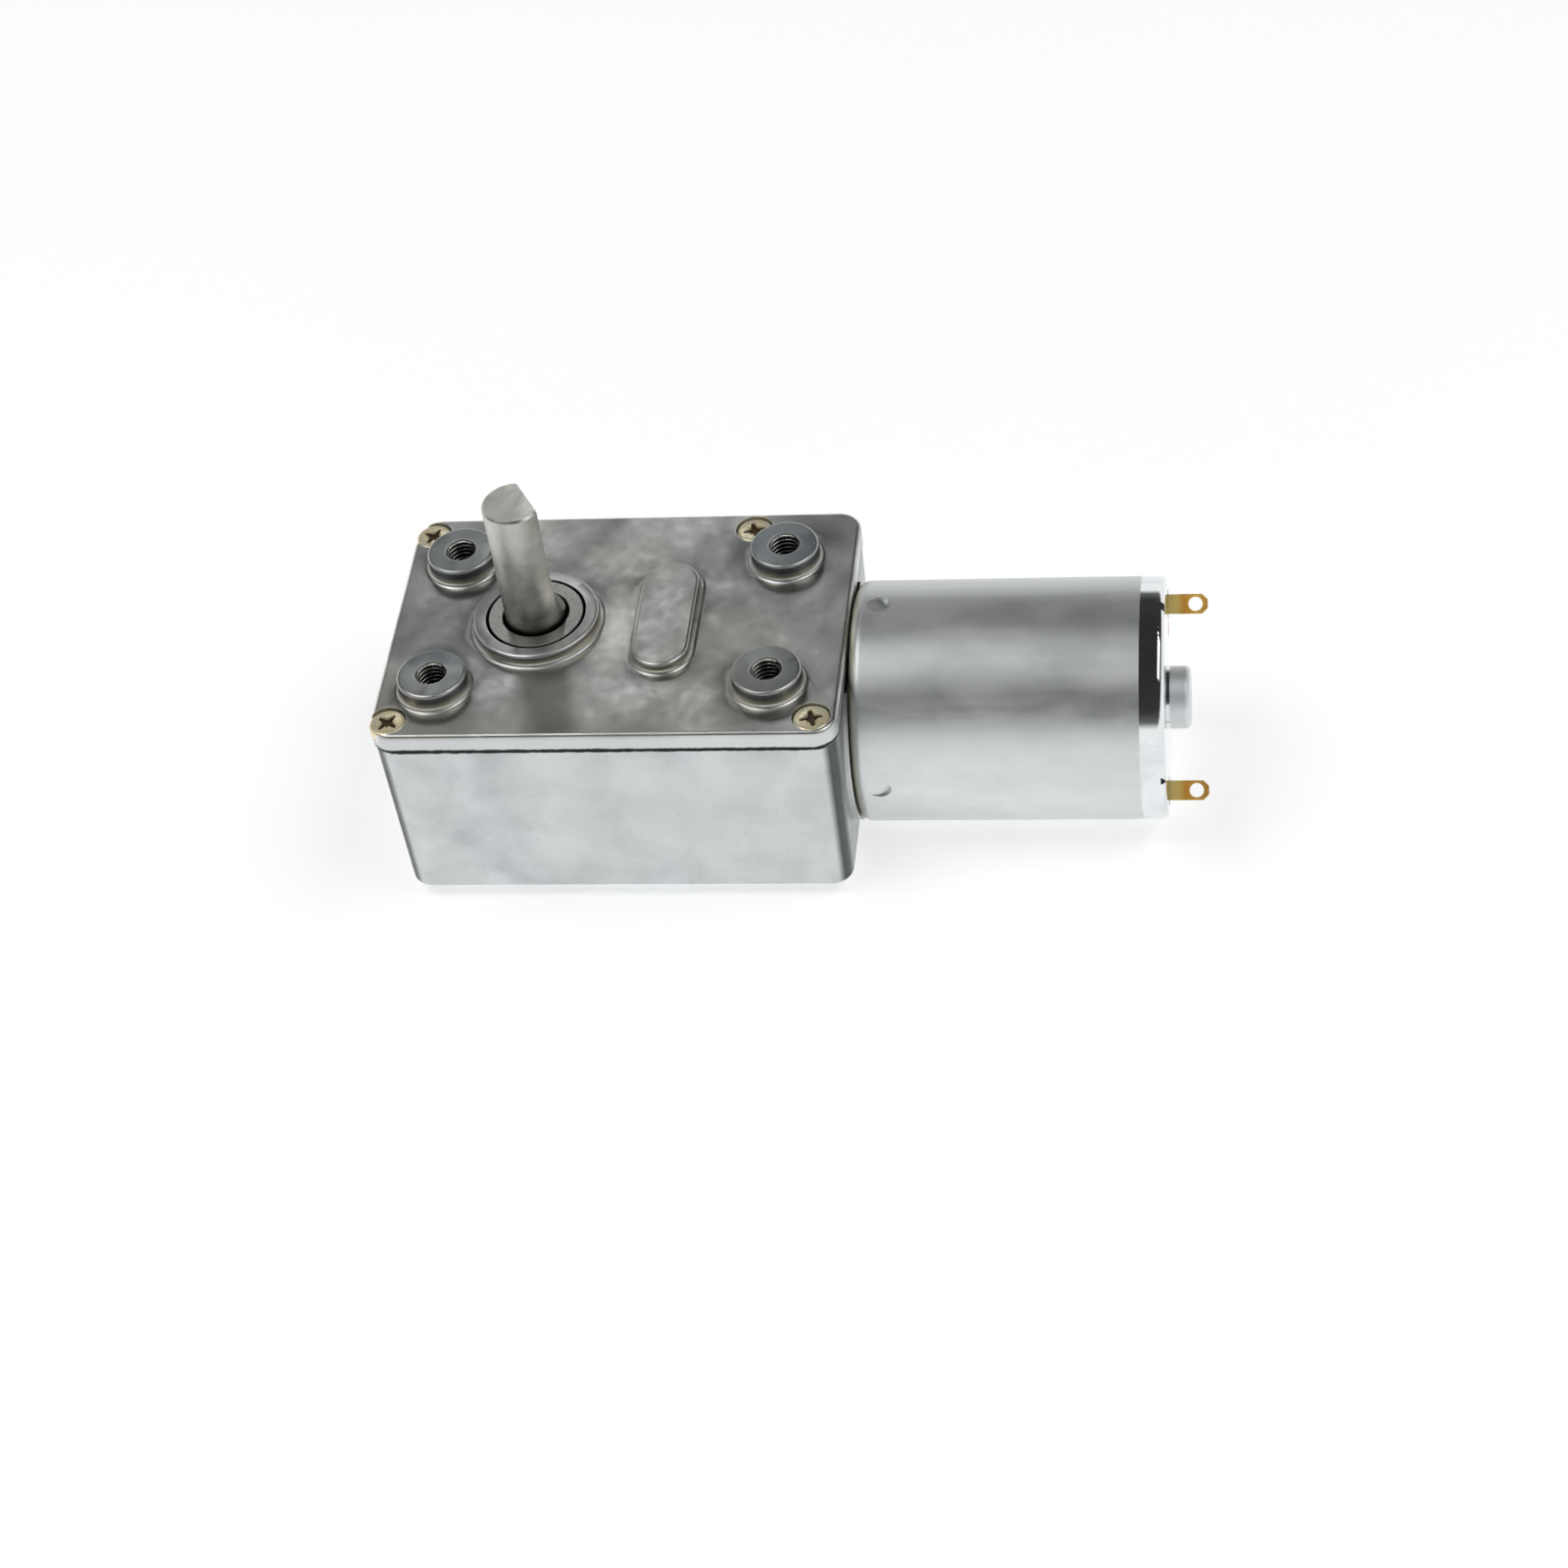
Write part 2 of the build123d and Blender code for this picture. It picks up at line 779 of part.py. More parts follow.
def terminal_window(grow):
    """The moulded foot round a terminal, or the slot it stands in."""
    return Box(
        cap_wall + grow,
        terminal_width + 2 * (terminal_foot_side + grow),
        terminal_thickness + 2 * (terminal_foot_face + grow),
        align=(Align.MIN, Align.CENTER, Align.CENTER),
    )


def motor_end_cap():
    cap = turned_motor(
        [
            (spigot_start, cap_cavity),
            (spigot_start, can_bore - holder_gap),
            (band_start, can_bore - holder_gap),
            (band_start, can_radius),
            (can_end, can_radius, cap_edge),
            (can_end, rear_boss_radius),
            (rear_tip, rear_boss_radius, boss_wall),
            (rear_tip, 0),
            (rear_bush_end, 0),
            (rear_bush_end, bush_radius + press_gap),
            (cap_inside, bush_radius + press_gap),
            (cap_inside, cap_cavity),
        ]
    )
    for side in (0, 180):
        for spread in (-crimp_spread, crimp_spread):
            notch = Pos(can_end, 0, motor_z + can_radius) * Box(
                2 * crimp_depth, crimp_width, 2 * crimp_depth
            )
            cap -= around_motor(brush_axis + side + spread) * notch
        slot = Pos(cap_inside, terminal_spread, motor_z) * terminal_window(holder_gap)
        cap -= around_motor(brush_axis + side) * slot
    return cap


def terminal_plate(grow, start, end):
    plate = Box(
        end - start,
        terminal_width + 2 * grow,
        terminal_thickness + 2 * grow,
        align=(Align.MIN, Align.CENTER, Align.CENTER),
    )
    return Pos(start, terminal_spread, motor_z) * plate


def brush_holder():
    holder = along_motor(cap_cavity - holder_gap, holder_start, cap_inside)
    holder -= along_motor(front_boss_radius, holder_start, cap_inside)
    for side in (0, 180):
        foot = Pos(cap_inside, terminal_spread, motor_z) * terminal_window(0)
        holder += around_motor(brush_axis + side) * foot
        slot = terminal_plate(press_gap, holder_start, can_end)
        holder -= around_motor(brush_axis + side) * slot
    return holder


def terminals():
    end = can_end + terminal_reach
    tabs = []
    for side in (0, 180):
        tab = terminal_plate(0, brush_start, end)
        corners = tab.edges().filter_by(Axis.Z).group_by(Axis.X)[-1]
        tab = chamfer(corners, terminal_taper)
        hole = Cylinder(terminal_hole / 2, 4 * terminal_thickness)
        tab -= Pos(end - terminal_hole_setback, terminal_spread, motor_z) * hole
        tabs.append(around_motor(brush_axis + side) * tab)
    return tabs


def brushes():
    blocks = []
    for side in (0, 180):
        block = Pos(brush_start, 0, motor_z + commutator_radius + running_gap) * Box(
            brush_width,
            brush_width,
            brush_thickness,
            align=(Align.MIN, Align.CENTER, Align.MIN),
        )
        blocks.append(around_motor(brush_axis + side) * block)
    return blocks


def brush_arms():
    arms = []
    inner = commutator_radius + running_gap + brush_thickness
    outer_end = terminal_spread - terminal_width / 2 + 2 * arm_thickness
    for side in (0, 180):
        leaf = Pos(brush_start, -brush_width, motor_z + inner) * Box(
            brush_width, outer_end + brush_width, arm_thickness, align=(Align.MIN, Align.MIN, Align.MIN)
        )
        foot = Pos(brush_start, outer_end, motor_z + terminal_thickness / 2) * Box(
            brush_width,
            arm_thickness * 2,
            inner + arm_thickness - terminal_thickness / 2,
            align=(Align.MIN, Align.MAX, Align.MIN),
        )
        arms.append(around_motor(brush_axis + side) * (leaf + foot))
    return arms


def magnets():
    start = motor_face + magnet_setback
    outer = can_bore - holder_gap
    pair = []
    for side in (0, 180):
        sector = turned_motor(
            [
                (start, outer - magnet_thickness),
                (start + magnet_length, outer - magnet_thickness),
                (start + magnet_length, outer),
                (start, outer),
            ],
            magnet_arc,
        )
        pair.append(around_motor(brush_axis + side - 90 - magnet_arc / 2) * sector)
    return pair


def motor_shaft():
    start = wheel_x - worm_length / 2
    return along_motor(motor_shaft_radius, start, rear_bush_end - end_play)


def front_motor_bush():
    bush = along_motor(bush_radius, front_bush_start, front_bush_start + bush_length)
    hole = along_motor(
        motor_shaft_radius + running_gap, front_bush_start, front_bush_start + bush_length
    )
    return bush - hole


def rear_motor_bush():
    bush = along_motor(bush_radius, rear_bush_end - bush_length, rear_bush_end)
    hole = along_motor(
        motor_shaft_radius + running_gap, rear_bush_end - bush_length, rear_bush_end
    )
    return bush - hole


def armature_core():
    """Three-pole lamination stack."""
    inner = core_radius - pole_thickness
    section = Circle(motor_shaft_radius + hub_wall)
    for pole in range(poles):
        stem = Pos(inner / 2, 0) * Rectangle(inner + pole_thickness / 2, stem_width)
        shoe = (Circle(core_radius) - Circle(inner)) & make_face(
            Polyline(
                (0, 0),
                (2 * core_radius, -2 * core_radius * tan(radians(pole_arc / 2))),
                (2 * core_radius, 2 * core_radius * tan(radians(pole_arc / 2))),
                close=True,
            )
        )
        section += Rot(0, 0, pole_step * pole) * (stem + shoe)
    section -= Circle(motor_shaft_radius + press_gap)
    seat = Plane(origin=(core_start, 0, motor_z), x_dir=(0, 1, 0), z_dir=(1, 0, 0))
    return seat * extrude(section, core_length)


def windings():
    """One coil round each pole's stem."""
    coils = []
    bottom = motor_shaft_radius + hub_wall + coil_wall / 2
    half_width = stem_width / 2 + coil_wall + coil_gap
    top = sqrt((core_radius - pole_thickness - coil_gap) ** 2 - half_width**2)
    height = top - bottom
    for pole in range(poles):
        coil = Box(
            core_length + 2 * coil_wall + 2 * coil_gap,
            2 * half_width,
            height,
        )
        coil = fillet(coil.edges().filter_by(Axis.Z), coil_wall * 0.9)
        coil -= Box(core_length + 2 * coil_gap, stem_width + 2 * coil_gap, height)
        coil = Pos((core_start + core_end) / 2, 0, motor_z + bottom + height / 2) * coil
        coils.append(around_motor(pole_step * pole - 90) * coil)
    return coils


def commutator_core():
    core = along_motor(commutator_core_radius, core_end + coil_wall + 2 * coil_gap, commutator_end)
    return core - along_motor(motor_shaft_radius + press_gap, core_end, commutator_end)


def commutator():
    bars = []
    for bar in range(poles):
        sector = turned_motor(
            [
                (commutator_start, commutator_core_radius + press_gap),
                (commutator_end, commutator_core_radius + press_gap),
                (commutator_end, commutator_radius),
                (commutator_start, commutator_radius),
            ],
            pole_step - commutator_slot,
        )
        bars.append(around_motor(pole_step * bar) * sector)
    return bars


def shaft_washers():
    front = front_bush_start + bush_length + end_play
    spans = [
        (front, core_start),
        (commutator_end + press_gap, rear_bush_end - bush_length - end_play),
    ]
    washers = []
    for start, end in spans:
        washer = along_motor(motor_shaft_radius + shaft_washer_wall, start, end)
        washers.append(washer - along_motor(motor_shaft_radius + press_gap, start, end))
    return washers


def motor_screws():
    screws = []
    face = cavity_right - press_gap
    for side in (-1, 1):
        y = side * motor_screw_spread
        screw = along_motor(motor_screw_head_radius, face - motor_screw_head, face, y)
        screw = fillet(screw.edges().group_by(Axis.X)[0], motor_screw_head * 0.35)
        screw += along_motor(motor_screw_radius, face, motor_face + motor_screw_grip, y)
        screws.append(screw)
    return screws


nodes = {
    "gearbox_housing": gearbox_housing,
    "gearbox_cover": gearbox_cover,
    "cover_screws": cover_screws,
    "upper_output_bush": upper_output_bush,
    "lower_output_bush": lower_output_bush,
    "output_shaft": output_shaft,
    "output_gear": output_gear,
    "shaft_clip": shaft_clip,
    "thrust_washer": thrust_washer,
    "third_gear": third_gear,
    "third_pinion": third_pinion,
    "second_gear": second_gear,
    "second_pinion": second_pinion,
    "worm_wheel": worm_wheel,
    "wheel_pinion": wheel_pinion,
    "gear_pins": gear_pins,
    "wheel_pin": wheel_pin,
    "pin_washers": pin_washers,
    "worm": worm,
    "motor_shaft": motor_shaft,
    "motor_can": motor_can,
    "motor_end_cap": motor_end_cap,
    "front_motor_bush": front_motor_bush,
    "rear_motor_bush": rear_motor_bush,
    "magnets": magnets,
    "armature_core": armature_core,
    "windings": windings,
    "commutator_core": commutator_core,
    "commutator": commutator,
    "brush_holder": brush_holder,
    "brushes": brushes,
    "brush_arms": brush_arms,
    "terminals": terminals,
    "shaft_washers": shaft_washers,
    "motor_screws": motor_screws,
}

os.makedirs("parts", exist_ok=True)
for name, make in nodes.items():
    made = make()
    if isinstance(made, list):
        made = Compound(children=[piece.solid() for piece in made])
    export_step(made, f"parts/{name}.step")
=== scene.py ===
import bmesh
import bpy
import json
import math
from mathutils import Matrix, Vector


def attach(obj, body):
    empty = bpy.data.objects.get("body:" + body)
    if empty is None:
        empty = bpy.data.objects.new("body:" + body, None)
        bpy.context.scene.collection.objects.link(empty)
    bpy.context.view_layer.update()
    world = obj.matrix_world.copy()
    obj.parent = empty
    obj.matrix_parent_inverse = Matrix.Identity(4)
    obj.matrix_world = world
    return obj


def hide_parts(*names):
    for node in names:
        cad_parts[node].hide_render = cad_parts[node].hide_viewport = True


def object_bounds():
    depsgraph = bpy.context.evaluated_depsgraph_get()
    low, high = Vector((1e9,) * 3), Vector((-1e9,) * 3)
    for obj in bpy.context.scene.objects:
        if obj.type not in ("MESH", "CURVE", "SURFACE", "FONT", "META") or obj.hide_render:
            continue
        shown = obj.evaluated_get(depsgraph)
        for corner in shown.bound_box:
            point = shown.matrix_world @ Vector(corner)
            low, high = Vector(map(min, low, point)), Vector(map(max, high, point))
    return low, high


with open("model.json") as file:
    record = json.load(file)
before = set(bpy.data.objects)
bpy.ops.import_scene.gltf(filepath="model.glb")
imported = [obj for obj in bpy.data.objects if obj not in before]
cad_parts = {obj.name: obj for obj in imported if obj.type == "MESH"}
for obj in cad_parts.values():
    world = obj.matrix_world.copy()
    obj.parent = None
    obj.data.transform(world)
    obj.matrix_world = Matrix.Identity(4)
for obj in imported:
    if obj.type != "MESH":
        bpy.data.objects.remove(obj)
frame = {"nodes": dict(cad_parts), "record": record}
cadLow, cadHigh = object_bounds()
nodes = frame["nodes"]
mm = 0.001
print("frame loaded:", len(nodes), "nodes")


# small helpers for shader trees

def newMaterial(name):
    material = bpy.data.materials.new(name)
    material.use_nodes = True
    tree = material.node_tree
    return material, tree, tree.nodes["Principled BSDF"]


def addNode(tree, kind, **settings):
    node = tree.nodes.new(kind)
    for key, value in settings.items():
        setattr(node, key, value)
    return node


def objectPoint(tree, scale=(1.0, 1.0, 1.0), place=(0.0, 0.0, 0.0), turn=(0.0, 0.0, 0.0)):
    # object coordinates in metres, moved, turned and stretched by a mapping
    source = addNode(tree, "ShaderNodeTexCoord")
    mapping = addNode(tree, "ShaderNodeMapping")
    mapping.inputs["Location"].default_value = place
    mapping.inputs["Rotation"].default_value = turn
    mapping.inputs["Scale"].default_value = scale
    tree.links.new(source.outputs["Object"], mapping.inputs["Vector"])
    return mapping.outputs["Vector"]


def noise(tree, point, scale, detail=3.0, roughness=0.5, distortion=0.0):
    node = addNode(tree, "ShaderNodeTexNoise")
    node.inputs["Scale"].default_value = scale
    node.inputs["Detail"].default_value = detail
    node.inputs["Roughness"].default_value = roughness
    node.inputs["Distortion"].default_value = distortion
    tree.links.new(point, node.inputs["Vector"])
    return node.outputs["Fac"]


def ramp(tree, value, stops):
    node = addNode(tree, "ShaderNodeValToRGB")
    elements = node.color_ramp.elements
    while len(elements) < len(stops):
        elements.new(0.5)
    for element, (position, colour) in zip(elements, stops):
        element.position = position
        element.color = (*colour, 1.0) if len(colour) == 3 else colour
    tree.links.new(value, node.inputs["Fac"])
    return node.outputs["Color"]


def grey(level):
    return (level, level, level)


def remap(tree, value, low, high, fromLow=0.3, fromHigh=0.7):
    node = addNode(tree, "ShaderNodeMapRange")
    node.inputs["From Min"].default_value = fromLow
    node.inputs["From Max"].default_value = fromHigh
    node.inputs["To Min"].default_value = low
    node.inputs["To Max"].default_value = high
    tree.links.new(value, node.inputs["Value"])
    return node.outputs["Result"]


def combine(tree, operation, first, second):
    node = addNode(tree, "ShaderNodeMath", operation=operation)
    for socket, value in zip(node.inputs, (first, second)):
        if isinstance(value, (int, float)):
            socket.default_value = value
        else:
            tree.links.new(value, socket)
    return node.outputs["Value"]


def mixColour(tree, factor, first, second, blend="MIX"):
    node = addNode(tree, "ShaderNodeMix", data_type="RGBA", blend_type=blend)
    for socket, value in ((node.inputs[0], factor), (node.inputs[6], first), (node.inputs[7], second)):
        if isinstance(value, (int, float)):
            socket.default_value = value
        elif isinstance(value, tuple):
            socket.default_value = (*value, 1.0)
        else:
            tree.links.new(value, socket)
    return node.outputs[2]


def bump(tree, height, strength, distance, below=None):
    node = addNode(tree, "ShaderNodeBump")
    node.inputs["Strength"].default_value = strength
    node.inputs["Distance"].default_value = distance
    tree.links.new(height, node.inputs["Height"])
    if below is not None:
        tree.links.new(below, node.inputs["Normal"])
    return node.outputs["Normal"]


def edgeWear(tree, radius, low=0.02, high=0.16):
    # bright where the surface bends: how far a rounded normal leans from the true one
    bevel = addNode(tree, "ShaderNodeBevel", samples=4)
    bevel.inputs["Radius"].default_value = radius
    geometry = addNode(tree, "ShaderNodeNewGeometry")
    dot = addNode(tree, "ShaderNodeVectorMath", operation="DOT_PRODUCT")
    tree.links.new(bevel.outputs["Normal"], dot.inputs[0])
    tree.links.new(geometry.outputs["Normal"], dot.inputs[1])
    lean = combine(tree, "SUBTRACT", 1.0, dot.outputs["Value"])
    return remap(tree, lean, 0.0, 1.0, low, high)


def times(tree, first, second):
    return combine(tree, "MULTIPLY", first, second)


def addRanges(tree, first, firstRange, second, secondRange):
    return combine(tree, "ADD", remap(tree, first, *firstRange), remap(tree, second, *secondRange))


def finishMaterial(tree, shader, settings, colour, rough, skins):
    # colour, gloss and the stacked relief of a finish go to its shader
    tree.links.new(colour, shader.inputs["Base Color"])
    tree.links.new(rough, shader.inputs["Roughness"])
    shader.inputs["Metallic"].default_value = settings.get("metallic", 1.0)
    skin = None
    for height, kind in skins:
        skin = bump(tree, height, settings[kind + "Strength"], settings[kind + "Depth"] * mm, skin)
    tree.links.new(skin, shader.inputs["Normal"])


def addWear(tree, colour, settings):
    # bare metal shows where the edges rub
    wear = times(tree, edgeWear(tree, settings["wearRadius"] * mm), settings["wearShare"])
    return mixColour(tree, wear, colour, settings["wearTone"])


def fade(tree, value, reach, low=0.0, high=1.0, base=0.0):
    # from low to high while a length crosses the reach, given in mm from the base
    return remap(tree, value, low, high, (base + reach[0]) * mm, (base + reach[1]) * mm)


def twoTones(tree, value, settings, dark, pale):
    low, high = settings["toneStops"]
    return ramp(tree, value, [(low, settings[dark]), (high, settings[pale])])


def axisPart(tree, axis):
    source = addNode(tree, "ShaderNodeTexCoord")
    parts = addNode(tree, "ShaderNodeSeparateXYZ")
    tree.links.new(source.outputs["Object"], parts.inputs[0])
    return parts.outputs[axis]


def normalPart(tree, axis):
    geometry = addNode(tree, "ShaderNodeNewGeometry")
    parts = addNode(tree, "ShaderNodeSeparateXYZ")
    tree.links.new(geometry.outputs["Normal"], parts.inputs[0])
    return parts.outputs[axis]


def normalSize(tree, axis):
    return combine(tree, "ABSOLUTE", normalPart(tree, axis), 0.0)


def vectorStep(tree, operation, first, second=(0.0, 0.0, 0.0)):
    node = addNode(tree, "ShaderNodeVectorMath", operation=operation)
    tree.links.new(first, node.inputs[0])
    node.inputs[1].default_value = second
    return node.outputs["Value" if operation in ("DISTANCE", "LENGTH") else "Vector"]


# the finishes of this gear motor, each with its settings above it; lengths and depths are in mm

holeShadeBlack = (0.02, 0.018, 0.015)

castZinc = {
    "dark": (0.33, 0.34, 0.338),
    "pale": (0.65, 0.67, 0.66),
    "toneStops": (0.30, 0.68),
    "warm": (0.56, 0.55, 0.49),
    "warmShare": 0.55,
    "warmFrom": (0.42, 0.62),
    "pitTone": (0.25, 0.25, 0.24),
    "pitShare": 0.25,
    "pitFrom": (0.62, 0.80),
    "pitScale": 2160.0,
    "patchScale": 135.0,
    "driftShare": 0.35,     # how coarse the slow drift is beside the patches
    "grainScale": 900.0,
    "roughness": (0.30, 0.40),
    "grainRoughness": (-0.04, 0.05),
    "wearRadius": 0.35,
    "wearShare": 0.75,
    "wearTone": (0.88, 0.88, 0.84),
    "waveStrength": 0.5,
    "waveDepth": 0.5,
    "patchStrength": 0.16,
    "patchDepth": 0.4,
    "grainStrength": 0.10,
    "grainDepth": 0.03,
}

housingZinc = {
    **castZinc,
    "dark": (0.47, 0.49, 0.50),
    "pale": (0.62, 0.65, 0.66),
    "warm": (0.60, 0.62, 0.61),
    "roughness": (0.32, 0.42),
    "patchScale": 190.0,
    "waveDepth": 0.4,
}

# the threads' zinc, its tones darkened as painted shade inside the holes
threadZinc = {
    **castZinc,
    "dark": (0.30, 0.29, 0.26),
    "pale": (0.52, 0.50, 0.45),
    "roughness": (0.22, 0.34),
    "patchScale": 900.0,
    "waveDepth": 0.1,
    "shadeFrom": (-1.7, -0.2),
    "shadeShare": 0.95,
}

# where the cover's raised forms stand: the painted shadow round them follows these
raisedForms = {
    "bossMiddle": (7.5, 0.0),
    "bossReach": (16.5, 9.0),
    "bossRadius": 3.45,
    "holeRadius": 1.7,
    "padMiddle": (12.993, 0.0),
    "padReach": 4.65,
    "padRadius": 2.85,
    "collarRadius": 6.3,
    "seatRadius": 4.95,
    "patchMiddle": (8.1, -1.6),
    "patchReach": (2.6, 6.0),
    "floor": -1.95,
}

# painted shadow, a painted highlight, painted shade and reflection on the walls, and the cover's other marks
coverSoilAndPaintedLight = {
    "ragged": 0.8,
    "shadowRingReach": 4.0,
    "shadowRingShare": 0.9,
    "shadowRingStops": [(0.00, 1.0), (0.10, 1.0), (0.20, 0.50), (0.45, 0.80), (0.80, 1.0)],
    "highlightTone": (1.0, 0.98, 0.91),
    "highlightShare": 0.85,
    "highlightRagged": 0.35,
    "highlightFrom": (0.25, 1.2),
    "raisedFrom": (0.05, 0.25),     # above the cover's floor
    "steepFrom": (0.25, 0.75),
    "wallShare": 0.85,
    "wallLightStops": [(0.04, (0.30, 0.30, 0.28)), (0.20, (0.80, 0.77, 0.64)), (0.40, (0.40, 0.38, 0.30)),
                  (0.55, (0.09, 0.09, 0.09)), (0.86, (0.11, 0.11, 0.12)), (1.0, (0.30, 0.31, 0.32))],
    "bossTopTone": (0.72, 0.76, 0.80),
    "bossTopRim": 0.4,
    "bossTopFrom": (-0.3, -0.05),
    "holeRim": 0.1,
    "holeFrom": (-0.9, -0.25),
    "outerTone": (0.62, 0.65, 0.66),
    "outerShare": 0.85,
    "outerFrom": (-0.7, -0.2),      # below the cover's floor
    "seatTone": (0.02, 0.02, 0.02),
    "seatHalf": 0.06,
}

coverJoint = {
    "height": -4.05,
    "half": 0.31,
    "fade": (-0.07, 0.05),
    "ragged": 0.08,
    "tone": (0.03, 0.03, 0.03),
}

# painted shade on the housing: dark corner lines and a darker wall beside the motor
housingCornerShade = {
    "lineTone": (0.03, 0.033, 0.036),
    "lineShare": 0.9,
    "leanFrom": (0.16, 0.42),
    "alongFrom": (0.40, 0.66),
    "wallTone": (0.12, 0.125, 0.125),
    "wallShare": 0.40,
    "wallFrom": (0.55, 0.85),
}


def awayFromRaised(tree, forms):
    # metres from the wall of the nearest boss, pad or collar, less than nothing on top of one
    flat = (1.0, 1.0, 0.0)
    bossX, bossY = forms["bossMiddle"]
    folded = vectorStep(tree, "ABSOLUTE", objectPoint(tree, flat, (-bossX * mm, -bossY * mm, 0.0)))
    reachX, reachY = forms["bossReach"]
    boss = vectorStep(tree, "DISTANCE", folded, (reachX * mm, reachY * mm, 0.0))
    padX, padY = forms["padMiddle"]
    folded = vectorStep(tree, "ABSOLUTE", objectPoint(tree, flat, (-padX * mm, -padY * mm, 0.0)))
    folded = vectorStep(tree, "SUBTRACT", folded, (0.0, forms["padReach"] * mm, 0.0))
    pad = vectorStep(tree, "LENGTH", vectorStep(tree, "MAXIMUM", folded))
    collar = vectorStep(tree, "LENGTH", objectPoint(tree, flat))
    nearest = combine(tree, "SUBTRACT", boss, forms["bossRadius"] * mm)
    for reach, radius in ((pad, "padRadius"), (collar, "collarRadius")):
        nearest = combine(tree, "MINIMUM", nearest, combine(tree, "SUBTRACT", reach, forms[radius] * mm))
    return nearest, boss, collar


def paintSoilAndLightRaised(tree, colour, drift, forms, soilAndPaintedLight):
    away, boss, collar = awayFromRaised(tree, forms)
    # painted shadow: a darker ring round each boss, the pad and the collar
    uneven = combine(tree, "ADD", away, remap(tree, drift, -soilAndPaintedLight["ragged"] * mm, soilAndPaintedLight["ragged"] * mm))
    stops = [(place, grey(tone)) for place, tone in soilAndPaintedLight["shadowRingStops"]]
    shadowRing = ramp(tree, fade(tree, uneven, (0.0, soilAndPaintedLight["shadowRingReach"])), stops)
    colour = mixColour(tree, soilAndPaintedLight["shadowRingShare"], colour, shadowRing, "MULTIPLY")
    # a painted highlight: a pale patch between collar and pad
    patchX, patchY = forms["patchMiddle"]
    reachX, reachY = forms["patchReach"]
    spread = objectPoint(tree, (1 / reachX / mm, 1 / reachY / mm, 0.0),
                         (-patchX / reachX, -patchY / reachY, 0.0))
    wander = remap(tree, drift, -soilAndPaintedLight["highlightRagged"], soilAndPaintedLight["highlightRagged"])
    highlightSpot = combine(tree, "ADD", vectorStep(tree, "LENGTH", spread), wander)
    colour = mixColour(tree, remap(tree, highlightSpot, soilAndPaintedLight["highlightShare"], 0.0, *soilAndPaintedLight["highlightFrom"]), colour,
                       soilAndPaintedLight["highlightTone"])
    # painted shade high on the walls of the raised forms, with a painted yellow reflection low down, in bands
    # by height
    height = axisPart(tree, "Z")
    raised = fade(tree, height, soilAndPaintedLight["raisedFrom"], base=forms["floor"])
    steep = remap(tree, normalPart(tree, "Z"), 1.0, 0.0, *soilAndPaintedLight["steepFrom"])
    wall = times(tree, times(tree, steep, raised), soilAndPaintedLight["wallShare"])
    wallLightBands = ramp(tree, fade(tree, height, (forms["floor"], 0.0)), soilAndPaintedLight["wallLightStops"])
    colour = mixColour(tree, wall, colour, wallLightBands)
    # cooler boss tops, and holes painted dark: painted shade inside them
    onBoss = fade(tree, boss, (-soilAndPaintedLight["bossTopRim"], 0.0), 1.0, 0.0, forms["bossRadius"])
    bossTop = times(tree, onBoss, fade(tree, height, soilAndPaintedLight["bossTopFrom"]))
    colour = mixColour(tree, bossTop, colour, mixColour(tree, 1.0, colour, soilAndPaintedLight["bossTopTone"], "MULTIPLY"))
    inHole = fade(tree, boss, (-soilAndPaintedLight["holeRim"], 0.0), 1.0, 0.0, forms["holeRadius"])
    core = times(tree, inHole, fade(tree, height, soilAndPaintedLight["holeFrom"], 1.0, 0.0))
    colour = mixColour(tree, core, colour, holeShadeBlack)
    outerEdge = fade(tree, height, soilAndPaintedLight["outerFrom"], soilAndPaintedLight["outerShare"], 0.0, forms["floor"])
    colour = mixColour(tree, outerEdge, colour, soilAndPaintedLight["outerTone"])
    inSeat = fade(tree, collar, (-soilAndPaintedLight["seatHalf"], soilAndPaintedLight["seatHalf"]), 1.0, 0.0, forms["seatRadius"])
    return mixColour(tree, times(tree, inSeat, raised), colour, soilAndPaintedLight["seatTone"])


def darkJoint(tree, colour, drift, joint):
    # the dark joint between cover and housing, a little ragged
    off = combine(tree, "ABSOLUTE", combine(tree, "SUBTRACT", axisPart(tree, "Z"), joint["height"] * mm), 0.0)
    ragged = combine(tree, "ADD", off, remap(tree, drift, -joint["ragged"] * mm, joint["ragged"] * mm))
    return mixColour(tree, fade(tree, ragged, joint["fade"], 1.0, 0.0, joint["half"]), colour, joint["tone"])


def darkCorners(tree, colour, corners):
    # painted shade: a dark line down each upright corner, on the half that faces along the motor
    lean = times(tree, normalSize(tree, "X"), normalSize(tree, "Y"))
    corner = remap(tree, lean, 0.0, corners["lineShare"], *corners["leanFrom"])
    along = remap(tree, normalSize(tree, "X"), 0.0, 1.0, *corners["alongFrom"])
    colour = mixColour(tree, times(tree, corner, along), colour, corners["lineTone"])
    # painted shade: the wall that carries the motor is painted dull and dark
    motorWall = remap(tree, normalPart(tree, "X"), 0.0, corners["wallShare"], *corners["wallFrom"])
    return mixColour(tree, motorWall, colour, corners["wallTone"])


